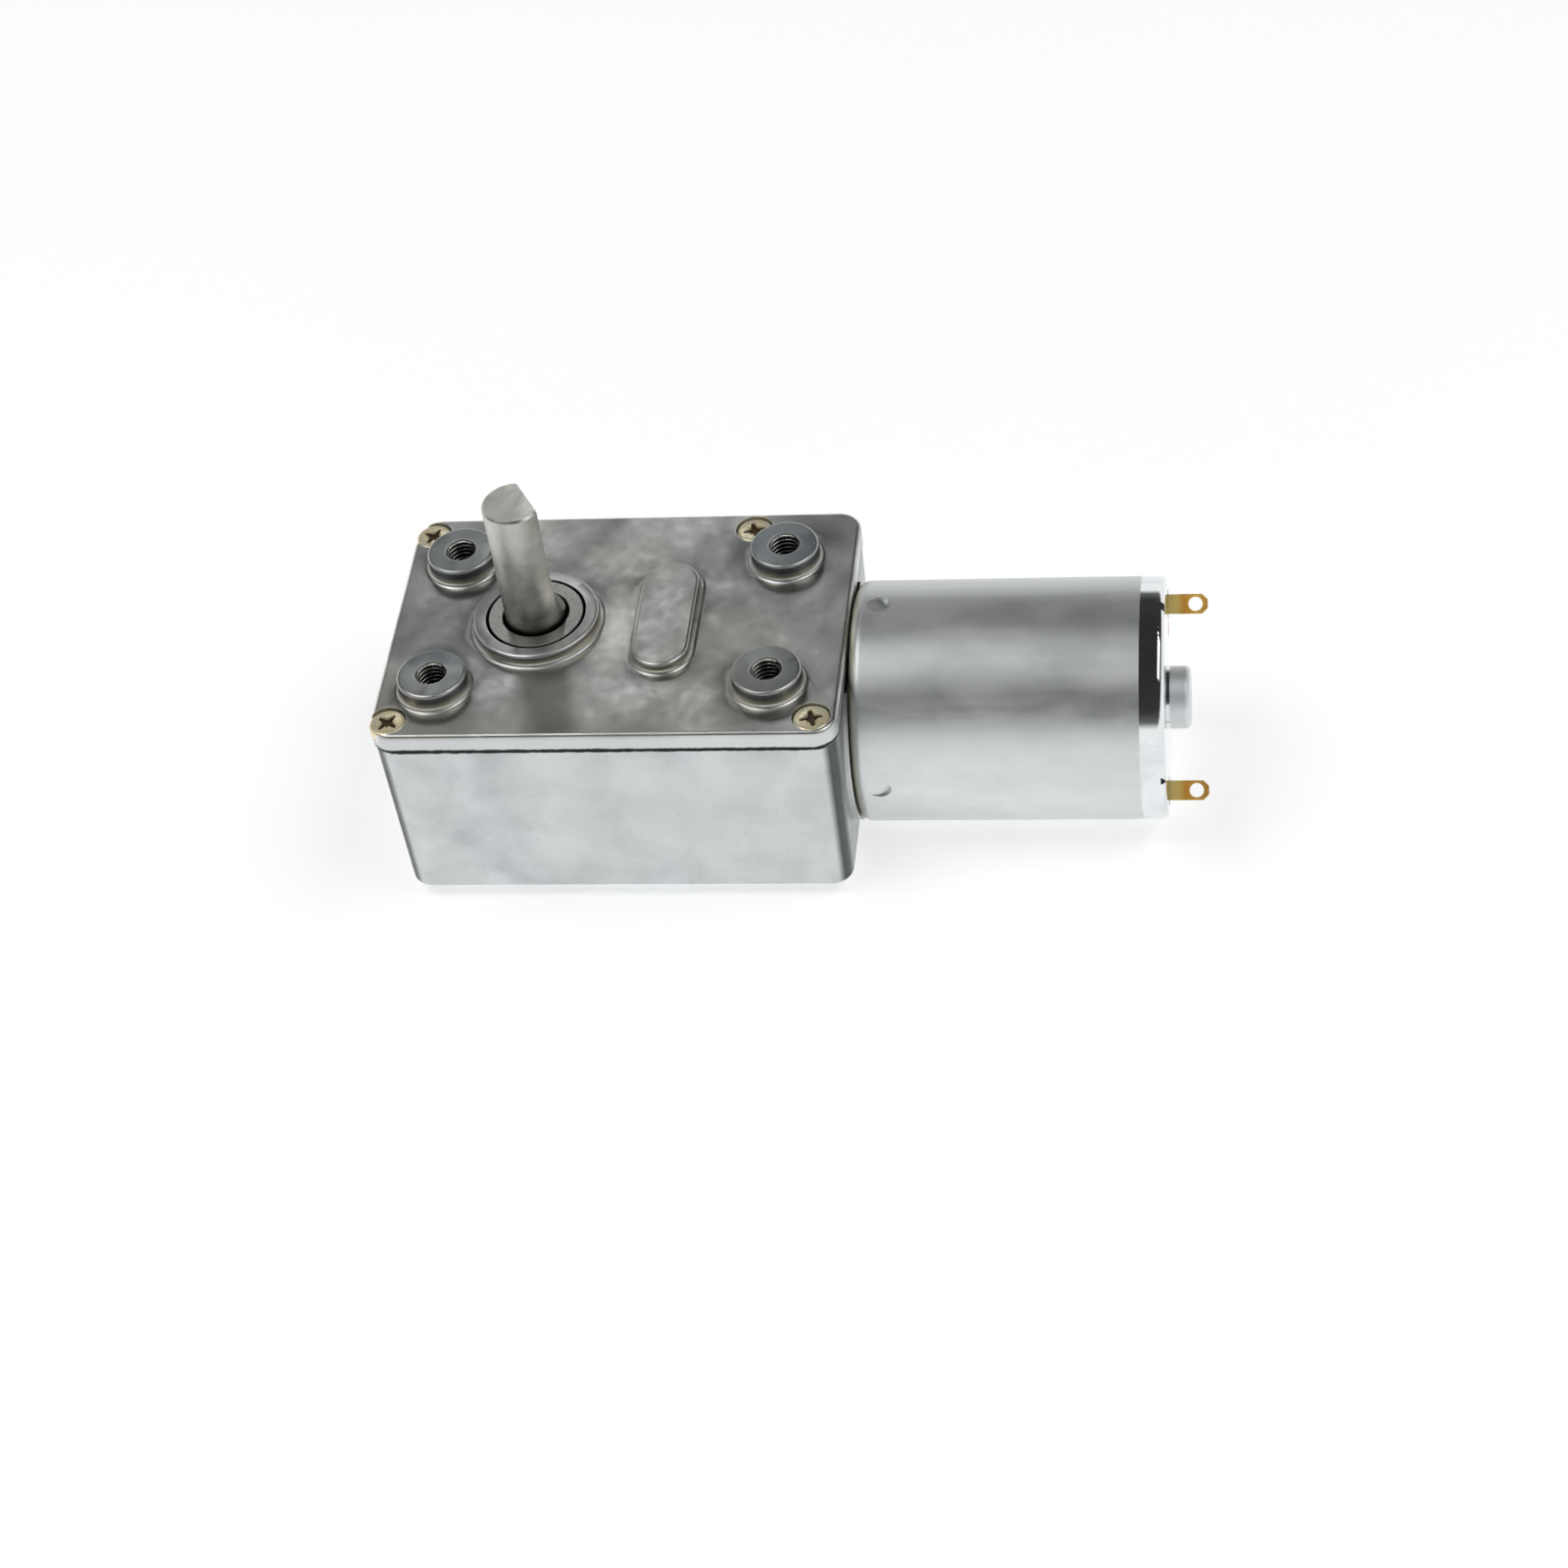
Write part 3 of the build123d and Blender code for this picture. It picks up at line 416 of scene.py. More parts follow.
def makeCastZinc(name, settings, seedPlace, soilAndPaintedLight=None, corners=None):
    material, tree, shader = newMaterial(name)
    place = objectPoint(tree, place=seedPlace)
    patches = noise(tree, place, settings["patchScale"], detail=3.0, roughness=0.5, distortion=0.25)
    drift = noise(tree, place, settings["patchScale"] * settings["driftShare"], detail=2.0)
    grain = noise(tree, objectPoint(tree), settings["grainScale"], detail=5.0, roughness=0.65)
    pits = noise(tree, objectPoint(tree), settings["pitScale"], detail=2.0)
    colour = twoTones(tree, patches, settings, "dark", "pale")
    warm = remap(tree, drift, 0.0, settings["warmShare"], *settings["warmFrom"])
    colour = mixColour(tree, warm, colour, settings["warm"])
    pitted = remap(tree, pits, 0.0, settings["pitShare"], *settings["pitFrom"])
    colour = mixColour(tree, pitted, colour, settings["pitTone"])
    if soilAndPaintedLight:
        colour = paintSoilAndLightRaised(tree, colour, patches, raisedForms, soilAndPaintedLight)
    if "shadeFrom" in settings:
        # painted shade, darker deeper in the threaded holes
        holeShade = fade(tree, axisPart(tree, "Z"), settings["shadeFrom"], settings["shadeShare"], 0.0)
        colour = mixColour(tree, holeShade, colour, holeShadeBlack)
    if corners:
        colour = darkCorners(tree, colour, corners)
    colour = addWear(tree, colour, settings)
    colour = darkJoint(tree, colour, grain, coverJoint)
    rough = addRanges(tree, patches, reversed(settings["roughness"]), grain, settings["grainRoughness"])
    skins = ((drift, "wave"), (patches, "patch"), (grain, "grain"))
    finishMaterial(tree, shader, settings, colour, rough, skins)
    return material


turnedSteel = {
    "colour": (0.56, 0.555, 0.52),
    "stain": (0.40, 0.39, 0.36),
    "toneStops": (0.30, 0.60),
    "stainScale": 320.0,
    "acrossScale": 60.0,
    "lineTone": (0.72, 0.71, 0.68),
    "lineShare": 0.30,
    "sideFrom": (0.5, 0.9),
    "grainScale": 2600.0,
    "roughness": (0.26, 0.40),
    "lineRoughness": (-0.05, 0.06),
    "wearRadius": 0.18,
    "wearShare": 0.6,
    "wearTone": (0.82, 0.81, 0.77),
    "lineStrength": 0.25,
    "lineDepth": 0.02,
    "grainStrength": 0.15,
    "grainDepth": 0.01,
}

outputShaftMarksAndShade = {
    "shadeFrom": (-0.4, 3.6),
    "shadeShare": 0.85,
    "oilShadeRagged": 0.6,
    "oilShadeTone": (0.07, 0.065, 0.055),
    "endFrom": (13.79, 13.83),
    "endShare": 0.85,
    "endTone": (0.60, 0.59, 0.55),
}


def makeGroundSteel(name, settings, axis, lineScale, soilAndPaintedLight=None):
    # fine lines that run round the axis, over slow stains
    material, tree, shader = newMaterial(name)
    stretch = [settings["acrossScale"]] * 3
    stretch["XYZ".index(axis)] = lineScale
    lines = noise(tree, objectPoint(tree, scale=tuple(stretch)), 1.0, detail=6.0, roughness=0.7)
    # the cut ends carry none of these lines
    side = remap(tree, normalSize(tree, axis), 1.0, 0.0, *settings["sideFrom"])
    lines = combine(tree, "ADD", times(tree, combine(tree, "SUBTRACT", lines, 0.5), side), 0.5)
    stain = noise(tree, objectPoint(tree), settings["stainScale"], detail=4.0, roughness=0.6, distortion=0.6)
    grain = noise(tree, objectPoint(tree), settings["grainScale"], roughness=0.6)
    colour = twoTones(tree, stain, settings, "stain", "colour")
    colour = mixColour(tree, remap(tree, lines, 0.0, settings["lineShare"]), colour, settings["lineTone"])
    colour = addWear(tree, colour, settings)
    if soilAndPaintedLight:
        # a dark film where the shaft leaves its bush, oil with painted shade toward the bush, and a cut end
        # fresher than the sides
        ragged = remap(tree, stain, -soilAndPaintedLight["oilShadeRagged"] * mm, soilAndPaintedLight["oilShadeRagged"] * mm)
        height = combine(tree, "ADD", axisPart(tree, "Z"), ragged)
        oilShadeFilm = fade(tree, height, soilAndPaintedLight["shadeFrom"], soilAndPaintedLight["shadeShare"], 0.0)
        colour = mixColour(tree, oilShadeFilm, colour, soilAndPaintedLight["oilShadeTone"])
        fresh = fade(tree, axisPart(tree, "Z"), soilAndPaintedLight["endFrom"], 0.0, soilAndPaintedLight["endShare"])
        colour = mixColour(tree, fresh, colour, soilAndPaintedLight["endTone"])
    rough = addRanges(tree, stain, settings["roughness"], lines, settings["lineRoughness"])
    finishMaterial(tree, shader, settings, colour, rough, ((lines, "line"), (grain, "grain")))
    return material


sinteredBronze = {
    "colour": (0.36, 0.355, 0.34),
    "pore": (0.10, 0.10, 0.095),
    "toneStops": (0.34, 0.48),
    "poreScale": 3800.0,
    "stainTone": (0.55, 0.55, 0.52),
    "stainShare": 0.45,
    "stainScale": 420.0,
    "roughness": (0.34, 0.52),
    "poreStrength": 0.30,
    "poreDepth": 0.03,
}

outputBushBronze = {
    **sinteredBronze,
    "colour": (0.52, 0.52, 0.50),
    "pore": (0.34, 0.34, 0.33),
    "roughness": (0.30, 0.42),
    "grooves": (3.34, 4.70),
    "grooveHalf": 0.05,
    "grooveTone": (0.015, 0.015, 0.015),
}


def makeSintered(name, settings):
    material, tree, shader = newMaterial(name)
    pores = noise(tree, objectPoint(tree), settings["poreScale"], roughness=0.7)
    stain = noise(tree, objectPoint(tree), settings["stainScale"], roughness=0.6)
    colour = twoTones(tree, pores, settings, "pore", "colour")
    colour = mixColour(tree, remap(tree, stain, 0.0, settings["stainShare"]), colour, settings["stainTone"])
    if "grooves" in settings:
        # black where the bush meets the shaft and its seat
        inner, outer = settings["grooves"]
        edge = (-settings["grooveHalf"], settings["grooveHalf"])
        reach = vectorStep(tree, "LENGTH", objectPoint(tree, (1.0, 1.0, 0.0)))
        black = combine(tree, "MAXIMUM", fade(tree, reach, edge, 0.0, 1.0, outer),
                        fade(tree, reach, edge, 1.0, 0.0, inner))
        colour = mixColour(tree, black, colour, settings["grooveTone"])
    rough = remap(tree, pores, *reversed(settings["roughness"]))
    finishMaterial(tree, shader, settings, colour, rough, ((pores, "pore"),))
    return material


zincPlate = {
    "colour": (0.71, 0.735, 0.73),
    "dull": (0.62, 0.645, 0.645),
    "toneStops": (0.32, 0.66),
    "cloudScale": 140.0,
    "cloudStretch": (1.0, 1.6, 1.6),
    "drawnStretch": (60.0, 1500.0, 1500.0),
    "speckleScale": 3400.0,
    "speckleTone": (0.80, 0.82, 0.81),
    "speckleShare": 0.28,
    "speckleFrom": (0.58, 0.78),
    "wearRadius": 0.25,
    "wearShare": 0.6,
    "wearTone": (0.80, 0.79, 0.72),
    "shoulderFrom": (31.7, 32.2),
    "shoulderShare": 0.8,
    "shoulderHighlightTone": (0.80, 0.78, 0.62),
    "roughness": (0.38, 0.48),
    "drawnRoughness": (-0.03, 0.03),
    "cloudStrength": 0.12,
    "cloudDepth": 0.2,
    "speckleStrength": 0.10,
    "speckleDepth": 0.012,
}


def makeZincPlate(name, settings):
    material, tree, shader = newMaterial(name)
    cloud = noise(tree, objectPoint(tree, scale=settings["cloudStretch"]), settings["cloudScale"],
                  detail=4.0, roughness=0.6, distortion=0.3)
    drawn = noise(tree, objectPoint(tree, scale=settings["drawnStretch"]), 1.0, detail=5.0, roughness=0.7)
    speckle = noise(tree, objectPoint(tree), settings["speckleScale"], detail=2.0, roughness=0.6)
    colour = twoTones(tree, cloud, settings, "dull", "colour")
    specks = remap(tree, speckle, 0.0, settings["speckleShare"], *settings["speckleFrom"])
    colour = mixColour(tree, specks, colour, settings["speckleTone"])
    colour = addWear(tree, colour, settings)
    # painted highlight: a warm pale line along the can's front shoulder
    shoulderHighlight = fade(tree, axisPart(tree, "X"), settings["shoulderFrom"], settings["shoulderShare"], 0.0)
    colour = mixColour(tree, shoulderHighlight, colour, settings["shoulderHighlightTone"])
    rough = addRanges(tree, cloud, settings["roughness"], drawn, settings["drawnRoughness"])
    finishMaterial(tree, shader, settings, colour, rough, ((cloud, "cloud"), (speckle, "speckle")))
    return material


brightPlate = {
    "colour": (0.80, 0.83, 0.84),
    "haze": (0.70, 0.73, 0.75),
    "toneStops": (0.34, 0.60),
    "hazeScale": 260.0,
    "speckleScale": 2200.0,
    "speckleTone": (0.42, 0.44, 0.46),
    "speckleShare": 0.5,
    "speckleFrom": (0.62, 0.80),
    "roughness": (0.04, 0.10),
    "bossRoughness": 0.50,
    "bossFrom": (61.9, 62.1),
    "paintPlace": (61.81, 5.3, -8.9),
    "paintFrom": (0.75, 0.95),
    "paintRagged": 0.3,
    "paintTone": (0.55, 0.05, 0.04),
    "paintRoughness": 0.3,
    "speckleStrength": 0.10,
    "speckleDepth": 0.01,
}


def makeBrightPlate(name, settings):
    material, tree, shader = newMaterial(name)
    speckle = noise(tree, objectPoint(tree), settings["speckleScale"], roughness=0.7)
    haze = noise(tree, objectPoint(tree), settings["hazeScale"], detail=4.0, roughness=0.6, distortion=0.5)
    colour = twoTones(tree, haze, settings, "haze", "colour")
    specks = remap(tree, speckle, 0.0, settings["speckleShare"], *settings["speckleFrom"])
    colour = mixColour(tree, specks, colour, settings["speckleTone"])
    # the red dot of paint beside the first terminal
    place = tuple(part * mm for part in settings["paintPlace"])
    away = vectorStep(tree, "DISTANCE", objectPoint(tree), place)
    wander = remap(tree, speckle, -settings["paintRagged"] * mm, settings["paintRagged"] * mm)
    paint = fade(tree, combine(tree, "ADD", away, wander), settings["paintFrom"], 1.0, 0.0)
    colour = mixColour(tree, paint, colour, settings["paintTone"])
    tree.links.new(combine(tree, "SUBTRACT", 1.0, paint), shader.inputs["Metallic"])
    rough = combine(tree, "ADD", remap(tree, haze, *settings["roughness"]),
                    times(tree, paint, settings["paintRoughness"]))
    satin = fade(tree, axisPart(tree, "X"), settings["bossFrom"], 0.0, settings["bossRoughness"])
    rough = combine(tree, "ADD", rough, satin)
    finishMaterial(tree, shader, settings, colour, rough, ((speckle, "speckle"),))
    return material


# the four cover screws' middles
screwPlaces = [(-12.95, -13.61), (28.61, -13.61), (-12.95, 13.61), (20.31, 13.61)]

warmNickel = {
    "colour": (1.0, 0.94, 0.70),
    "stain": (0.88, 0.73, 0.42),
    "toneStops": (0.32, 0.55),
    "stainScale": 900.0,
    "grainScale": 5200.0,
    "recess": (0.10, 0.07, 0.04),
    "recessFrom": (-2.40, -2.16),
    "recessReach": 1.35,
    "recessEdge": 0.1,
    "recessRoughness": 0.4,
    "roughness": (0.34, 0.20),
    "metallic": 0.5,     # a yellow passivated film dulls the metal
    "grainStrength": 0.12,
    "grainDepth": 0.01,
}


def makeWarmNickel(name, settings):
    material, tree, shader = newMaterial(name)
    stain = noise(tree, objectPoint(tree), settings["stainScale"], detail=4.0, roughness=0.6, distortion=0.5)
    grain = noise(tree, objectPoint(tree), settings["grainScale"], detail=2.0, roughness=0.6)
    colour = twoTones(tree, stain, settings, "stain", "colour")
    # painted shade darkens the recess, below the head's face
    gaps = [vectorStep(tree, "LENGTH", objectPoint(tree, (1.0, 1.0, 0.0), (-x * mm, -y * mm, 0.0)))
            for x, y in screwPlaces]
    away = gaps[0]
    for gap in gaps[1:]:
        away = combine(tree, "MINIMUM", away, gap)
    deep = times(tree, fade(tree, axisPart(tree, "Z"), settings["recessFrom"], 1.0, 0.0),
                 fade(tree, away, (0.0, settings["recessEdge"]), 1.0, 0.0, settings["recessReach"]))
    colour = mixColour(tree, deep, colour, settings["recess"])
    rough = combine(tree, "ADD", remap(tree, stain, *settings["roughness"]),
                    times(tree, deep, settings["recessRoughness"]))
    finishMaterial(tree, shader, settings, colour, rough, ((grain, "grain"),))
    return material


metalFinishes = {
    "machinedGearSteel": {"colour": (0.50, 0.50, 0.49), "stain": (0.36, 0.36, 0.35), "rough": (0.24, 0.42),
                          "scale": 700.0},
    "machinedBrass": {"colour": (0.82, 0.62, 0.26), "stain": (0.62, 0.44, 0.16), "rough": (0.18, 0.34),
                      "scale": 800.0},
    "stampedBrass": {"colour": (1.0, 0.70, 0.17), "stain": (0.90, 0.40, 0.05), "rough": (0.24, 0.40),
                     "scale": 420.0, "metallic": 0.35, "tintReach": (61.8, 65.7),
                     "tintStops": [(0.0, (1.0, 0.84, 0.32)), (0.24, (1.0, 0.76, 0.24)),
                                   (0.40, (0.84, 0.38, 0.05)), (0.74, (1.0, 0.60, 0.14)),
                                   (1.0, (0.70, 0.32, 0.05))]},
    "laminationSteel": {"colour": (0.34, 0.35, 0.37), "stain": (0.22, 0.22, 0.23), "rough": (0.35, 0.55),
                        "scale": 600.0},
    "commutatorCopper": {"colour": (0.80, 0.42, 0.24), "stain": (0.42, 0.20, 0.10), "rough": (0.20, 0.42),
                         "scale": 900.0},
}

# what these metals share
metalSurface = {
    "toneStops": (0.32, 0.62),
    "grainTimes": 5.0,
    "grainRoughness": (-0.04, 0.04),
    "grainStrength": 0.18,
    "grainDepth": 0.02,
    "wearRadius": 0.1,
    "wearShare": 0.5,
    "wearGain": 1.35,
    "tintShare": 0.8,
    "tintRagged": 0.2,
}


def makeMetal(name, settings):
    material, tree, shader = newMaterial(name)
    stain = noise(tree, objectPoint(tree), settings["scale"], detail=4.0, roughness=0.6, distortion=0.4)
    grain = noise(tree, objectPoint(tree), settings["scale"] * settings["grainTimes"], roughness=0.6)
    colour = twoTones(tree, stain, settings, "stain", "colour")
    wearTone = tuple(min(1.0, part * settings["wearGain"]) for part in settings["colour"])
    colour = addWear(tree, colour, {**settings, "wearTone": wearTone})
    if "tintStops" in settings:
        wander = remap(tree, stain, -settings["tintRagged"] * mm, settings["tintRagged"] * mm)
        along = combine(tree, "ADD", axisPart(tree, "X"), wander)
        tint = ramp(tree, fade(tree, along, settings["tintReach"]), settings["tintStops"])
        colour = mixColour(tree, settings["tintShare"], colour, tint)
    rough = addRanges(tree, stain, reversed(settings["rough"]), grain, settings["grainRoughness"])
    finishMaterial(tree, shader, settings, colour, rough, ((grain, "grain"),))
    return material


mouldedFinishes = {
    "naturalNylon": {"colour": (0.80, 0.77, 0.68), "shade": (0.66, 0.62, 0.52), "rough": (0.38, 0.52),
                     "scale": 500.0},
    "blackMoulding": {"colour": (0.030, 0.030, 0.032), "shade": (0.015, 0.015, 0.016), "rough": (0.40, 0.58),
                      "scale": 900.0},
    "pressedCarbon": {"colour": (0.045, 0.045, 0.045), "shade": (0.018, 0.018, 0.018), "rough": (0.45, 0.65),
                      "scale": 1500.0},
    "ferrite": {"colour": (0.075, 0.075, 0.080), "shade": (0.035, 0.035, 0.038), "rough": (0.50, 0.72),
                "scale": 1100.0},
}

# what these mouldings share
mouldedSurface = {
    "toneStops": (0.35, 0.65),
    "metallic": 0.0,
    "grainTimes": 4.0,
    "grainRoughness": (-0.05, 0.05),
    "grainStrength": 0.22,
    "grainDepth": 0.03,
}


def makeMoulded(name, settings):
    material, tree, shader = newMaterial(name)
    tone = noise(tree, objectPoint(tree), settings["scale"], detail=4.0, roughness=0.6, distortion=0.2)
    grain = noise(tree, objectPoint(tree), settings["scale"] * settings["grainTimes"], roughness=0.65)
    colour = twoTones(tree, tone, settings, "shade", "colour")
    rough = addRanges(tree, tone, settings["rough"], grain, settings["grainRoughness"])
    finishMaterial(tree, shader, settings, colour, rough, ((grain, "grain"),))
    return material


enamelledWire = {
    "colour": (0.62, 0.24, 0.08),
    "groove": (0.16, 0.05, 0.02),
    "toneStops": (0.15, 0.55),
    "wirePitch": 0.28,
    "ringsPerUnit": 20.0,     # what the wave texture draws at a scale of one
    "axisHeight": -13.15,
    "distortion": 0.3,
    "toneScale": 800.0,
    "roughness": (0.20, 0.40),
    "metallic": 0.7,
    "grooveStrength": 0.6,
    "grooveDepth": 0.06,
}


def makeEnamelledWire(name, settings):
    # lines a wire's width apart, wound round each pole
    material, tree, shader = newMaterial(name)
    wave = addNode(tree, "ShaderNodeTexWave", wave_type="RINGS", rings_direction="X", wave_profile="SIN")
    wave.inputs["Scale"].default_value = 1.0 / (settings["wirePitch"] * mm) / settings["ringsPerUnit"]
    wave.inputs["Distortion"].default_value = settings["distortion"]
    point = objectPoint(tree, place=(0.0, 0.0, -settings["axisHeight"] * mm))
    tree.links.new(point, wave.inputs["Vector"])
    tone = noise(tree, objectPoint(tree), settings["toneScale"])
    colour = twoTones(tree, wave.outputs["Fac"], settings, "groove", "colour")
    rough = remap(tree, tone, *settings["roughness"])
    finishMaterial(tree, shader, settings, colour, rough, ((wave.outputs["Fac"], "groove"),))
    return material


# each cast finish starts its pattern at a place of its own, in metres
materials = {
    "coverZinc": makeCastZinc("coverZinc", castZinc, (0.013, 0.007, 0.0), soilAndPaintedLight=coverSoilAndPaintedLight),
    "housingZinc": makeCastZinc("housingZinc", housingZinc, (0.0, 0.0, 0.021), corners=housingCornerShade),
    "outputSteel": makeGroundSteel("outputSteel", turnedSteel, "Z", 5200.0, soilAndPaintedLight=outputShaftMarksAndShade),
    "pinSteel": makeGroundSteel("pinSteel", turnedSteel, "Z", 4200.0),
    "motorShaftSteel": makeGroundSteel("motorShaftSteel", turnedSteel, "X", 4200.0),
    "sinteredBush": makeSintered("sinteredBush", sinteredBronze),
    "outputBush": makeSintered("outputBush", outputBushBronze),
    "threadZinc": makeCastZinc("threadZinc", threadZinc, (0.0, 0.0, 0.0)),
    "canZinc": makeZincPlate("canZinc", zincPlate),
    "brightCap": makeBrightPlate("brightCap", brightPlate),
    "warmNickel": makeWarmNickel("warmNickel", warmNickel),
    "enamelledWire": makeEnamelledWire("enamelledWire", enamelledWire),
}
for finish, settings in metalFinishes.items():
    materials[finish] = makeMetal(finish, {**metalSurface, **settings})
for finish, settings in mouldedFinishes.items():
    materials[finish] = makeMoulded(finish, {**mouldedSurface, **settings})
print("materials made:", len(materials))

nodesOfFinish = {
    "housingZinc": ["gearbox_housing"],
    "coverZinc": ["gearbox_cover"],
    "warmNickel": ["cover_screws"],
    "outputBush": ["upper_output_bush"],
    "sinteredBush": ["lower_output_bush", "front_motor_bush", "rear_motor_bush"],
    "outputSteel": ["output_shaft"],
    "machinedGearSteel": ["output_gear", "shaft_clip", "thrust_washer", "third_gear", "third_pinion",
                          "second_gear", "second_pinion", "wheel_pinion"],
    "naturalNylon": ["worm_wheel"],
    "pinSteel": ["gear_pins", "wheel_pin", "pin_washers", "motor_screws"],
    "machinedBrass": ["worm"],
    "motorShaftSteel": ["motor_shaft"],
    "canZinc": ["motor_can"],
    "brightCap": ["motor_end_cap"],
    "ferrite": ["magnets"],
    "laminationSteel": ["armature_core"],
    "enamelledWire": ["windings"],
    "blackMoulding": ["commutator_core", "brush_holder", "shaft_washers"],
    "commutatorCopper": ["commutator"],
    "pressedCarbon": ["brushes"],
    "stampedBrass": ["brush_arms", "terminals"],
}
finishOfNode = {name: finish for finish, names in nodesOfFinish.items() for name in names}
for nodeName, finish in finishOfNode.items():
    mesh = nodes[nodeName].data
    mesh.materials.clear()
    mesh.materials.append(materials[finish])
bodies = frame["record"]["behaviour"]["bodies"]
bodyOfNode = {name: body for body, names in bodies.items() for name in names}


# visible shells: the solids' own surfaces, made smooth

smoothShell = {
    "names": ["gearbox_housing", "gearbox_cover", "upper_output_bush", "output_shaft", "motor_can",
              "motor_end_cap", "terminals", "brush_holder"],
    "mergeWithin": 0.002,
    "collapseBelow": 0.0001,
    "sharpAngle": 24.0,
    "areaWeight": 80,
}


def shellMesh(nodeName, settings):
    # a merged copy of the node's triangles, so that round faces shade as one surface
    work = bmesh.new()
    work.from_mesh(nodes[nodeName].data)
    bmesh.ops.remove_doubles(work, verts=work.verts, dist=settings["mergeWithin"] * mm)
    bmesh.ops.dissolve_degenerate(work, edges=work.edges, dist=settings["collapseBelow"] * mm)
    sharp = math.radians(settings["sharpAngle"])
    for edge in work.edges:
        edge.smooth = not (len(edge.link_faces) == 2 and edge.calc_face_angle(0.0) > sharp)
    for face in work.faces:
        face.smooth = True
        face.material_index = 0
    mesh = bpy.data.meshes.new(nodeName + "Shell")
    work.to_mesh(mesh)
    work.free()
    mesh.materials.append(materials[finishOfNode[nodeName]])
    return mesh


def settleNormals(piece, settings):
    # large faces keep their own direction and the small round ones lean to them
    weighted = piece.modifiers.new("weighted", "WEIGHTED_NORMAL")
    weighted.mode = "FACE_AREA_WITH_ANGLE"
    weighted.weight = settings["areaWeight"]
    weighted.keep_sharp = True
    bpy.context.view_layer.update()
    flat = bpy.data.meshes.new_from_object(piece.evaluated_get(bpy.context.evaluated_depsgraph_get()))
    piece.modifiers.clear()
    piece.data = flat


def openThreadCores(mesh, settings):
    # the plain core holes are opened to the thread's outer size; the helix fills them back to the core
    for vertex in mesh.vertices:
        for x, y in settings["centres"]:
            across = Vector((vertex.co.x - x * mm, vertex.co.y - y * mm))
            if across.length < (settings["coreRadius"] + settings["coreSlack"]) * mm:
                grown = across.normalized() * settings["outerRadius"] * mm
                vertex.co.x = x * mm + grown.x
                vertex.co.y = y * mm + grown.y


bossThread = {
    "centres": [(-9.0, -9.0), (-9.0, 9.0), (24.0, -9.0), (24.0, 9.0)],
    "coreRadius": 1.25,
    "coreSlack": 0.02,
    "outerRadius": 1.5,
    "pitch": 0.5,
    "top": -0.12,
    "bottom": -4.05,
    "stepsPerTurn": 28,
    "ridgeSides": 3,
    "ridgeShare": 0.74,      # the three-sided ridge's own radius, as a share of the depth
    "middleShare": 0.667,    # how far the ridge's middle stands outside its crest, as a share of the depth
}

for nodeName in smoothShell["names"]:
    mesh = shellMesh(nodeName, smoothShell)
    if nodeName == "gearbox_cover":
        openThreadCores(mesh, bossThread)
    shell = bpy.data.objects.new(nodeName + "_shell", mesh)
    bpy.context.scene.collection.objects.link(shell)
    settleNormals(shell, smoothShell)
    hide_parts(nodeName)
    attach(shell, bodyOfNode[nodeName])
print("shells made:", len(smoothShell["names"]))


# repeated pieces, made by geometry node trees

def newTree(name, inputs):
    # inputs: (name, socket kind, value); geometry comes first
    tree = bpy.data.node_groups.new(name, "GeometryNodeTree")
    tree.interface.new_socket("Geometry", in_out="INPUT", socket_type="NodeSocketGeometry")
    for label, kind, value in inputs:
        socket = tree.interface.new_socket(label, in_out="INPUT", socket_type=kind)
        if value is not None:
            socket.default_value = value
    tree.interface.new_socket("Geometry", in_out="OUTPUT", socket_type="NodeSocketGeometry")
    return tree, tree.nodes.new("NodeGroupInput"), tree.nodes.new("NodeGroupOutput")


def addLinked(tree, kind, inputs, **settings):
    # a node whose inputs, by label or number, are linked to a socket or set to a value
    node = addNode(tree, kind, **settings)
    for label, value in inputs.items():
        if isinstance(value, bpy.types.NodeSocket):
            tree.links.new(value, node.inputs[label])
        else:
            node.inputs[label].default_value = value
    return node


def finishTree(tree, geometry, given, output):
    realize = addLinked(tree, "GeometryNodeRealizeInstances", {0: geometry})
    inputs = {"Geometry": realize.outputs[0], "Material": given.outputs["Material"]}
    paint = addLinked(tree, "GeometryNodeSetMaterial", inputs)
    tree.links.new(paint.outputs[0], output.inputs[0])


def growPiece(name, points, tree, values):
    # points carry the tree; the evaluated result becomes a plain mesh
    seedMesh = bpy.data.meshes.new(name + "Points")
    seedMesh.from_pydata(points, [], [])
    piece = bpy.data.objects.new(name, seedMesh)
    bpy.context.scene.collection.objects.link(piece)
    modifier = piece.modifiers.new("grow", "NODES")
    modifier.node_group = tree
    for item in tree.interface.items_tree:
        if item.item_type == "SOCKET" and item.in_out == "INPUT" and item.name in values:
            modifier[item.identifier] = values[item.name]
    bpy.context.view_layer.update()
    grown = bpy.data.meshes.new_from_object(piece.evaluated_get(bpy.context.evaluated_depsgraph_get()))
    piece.modifiers.clear()
    piece.data = grown
    return piece


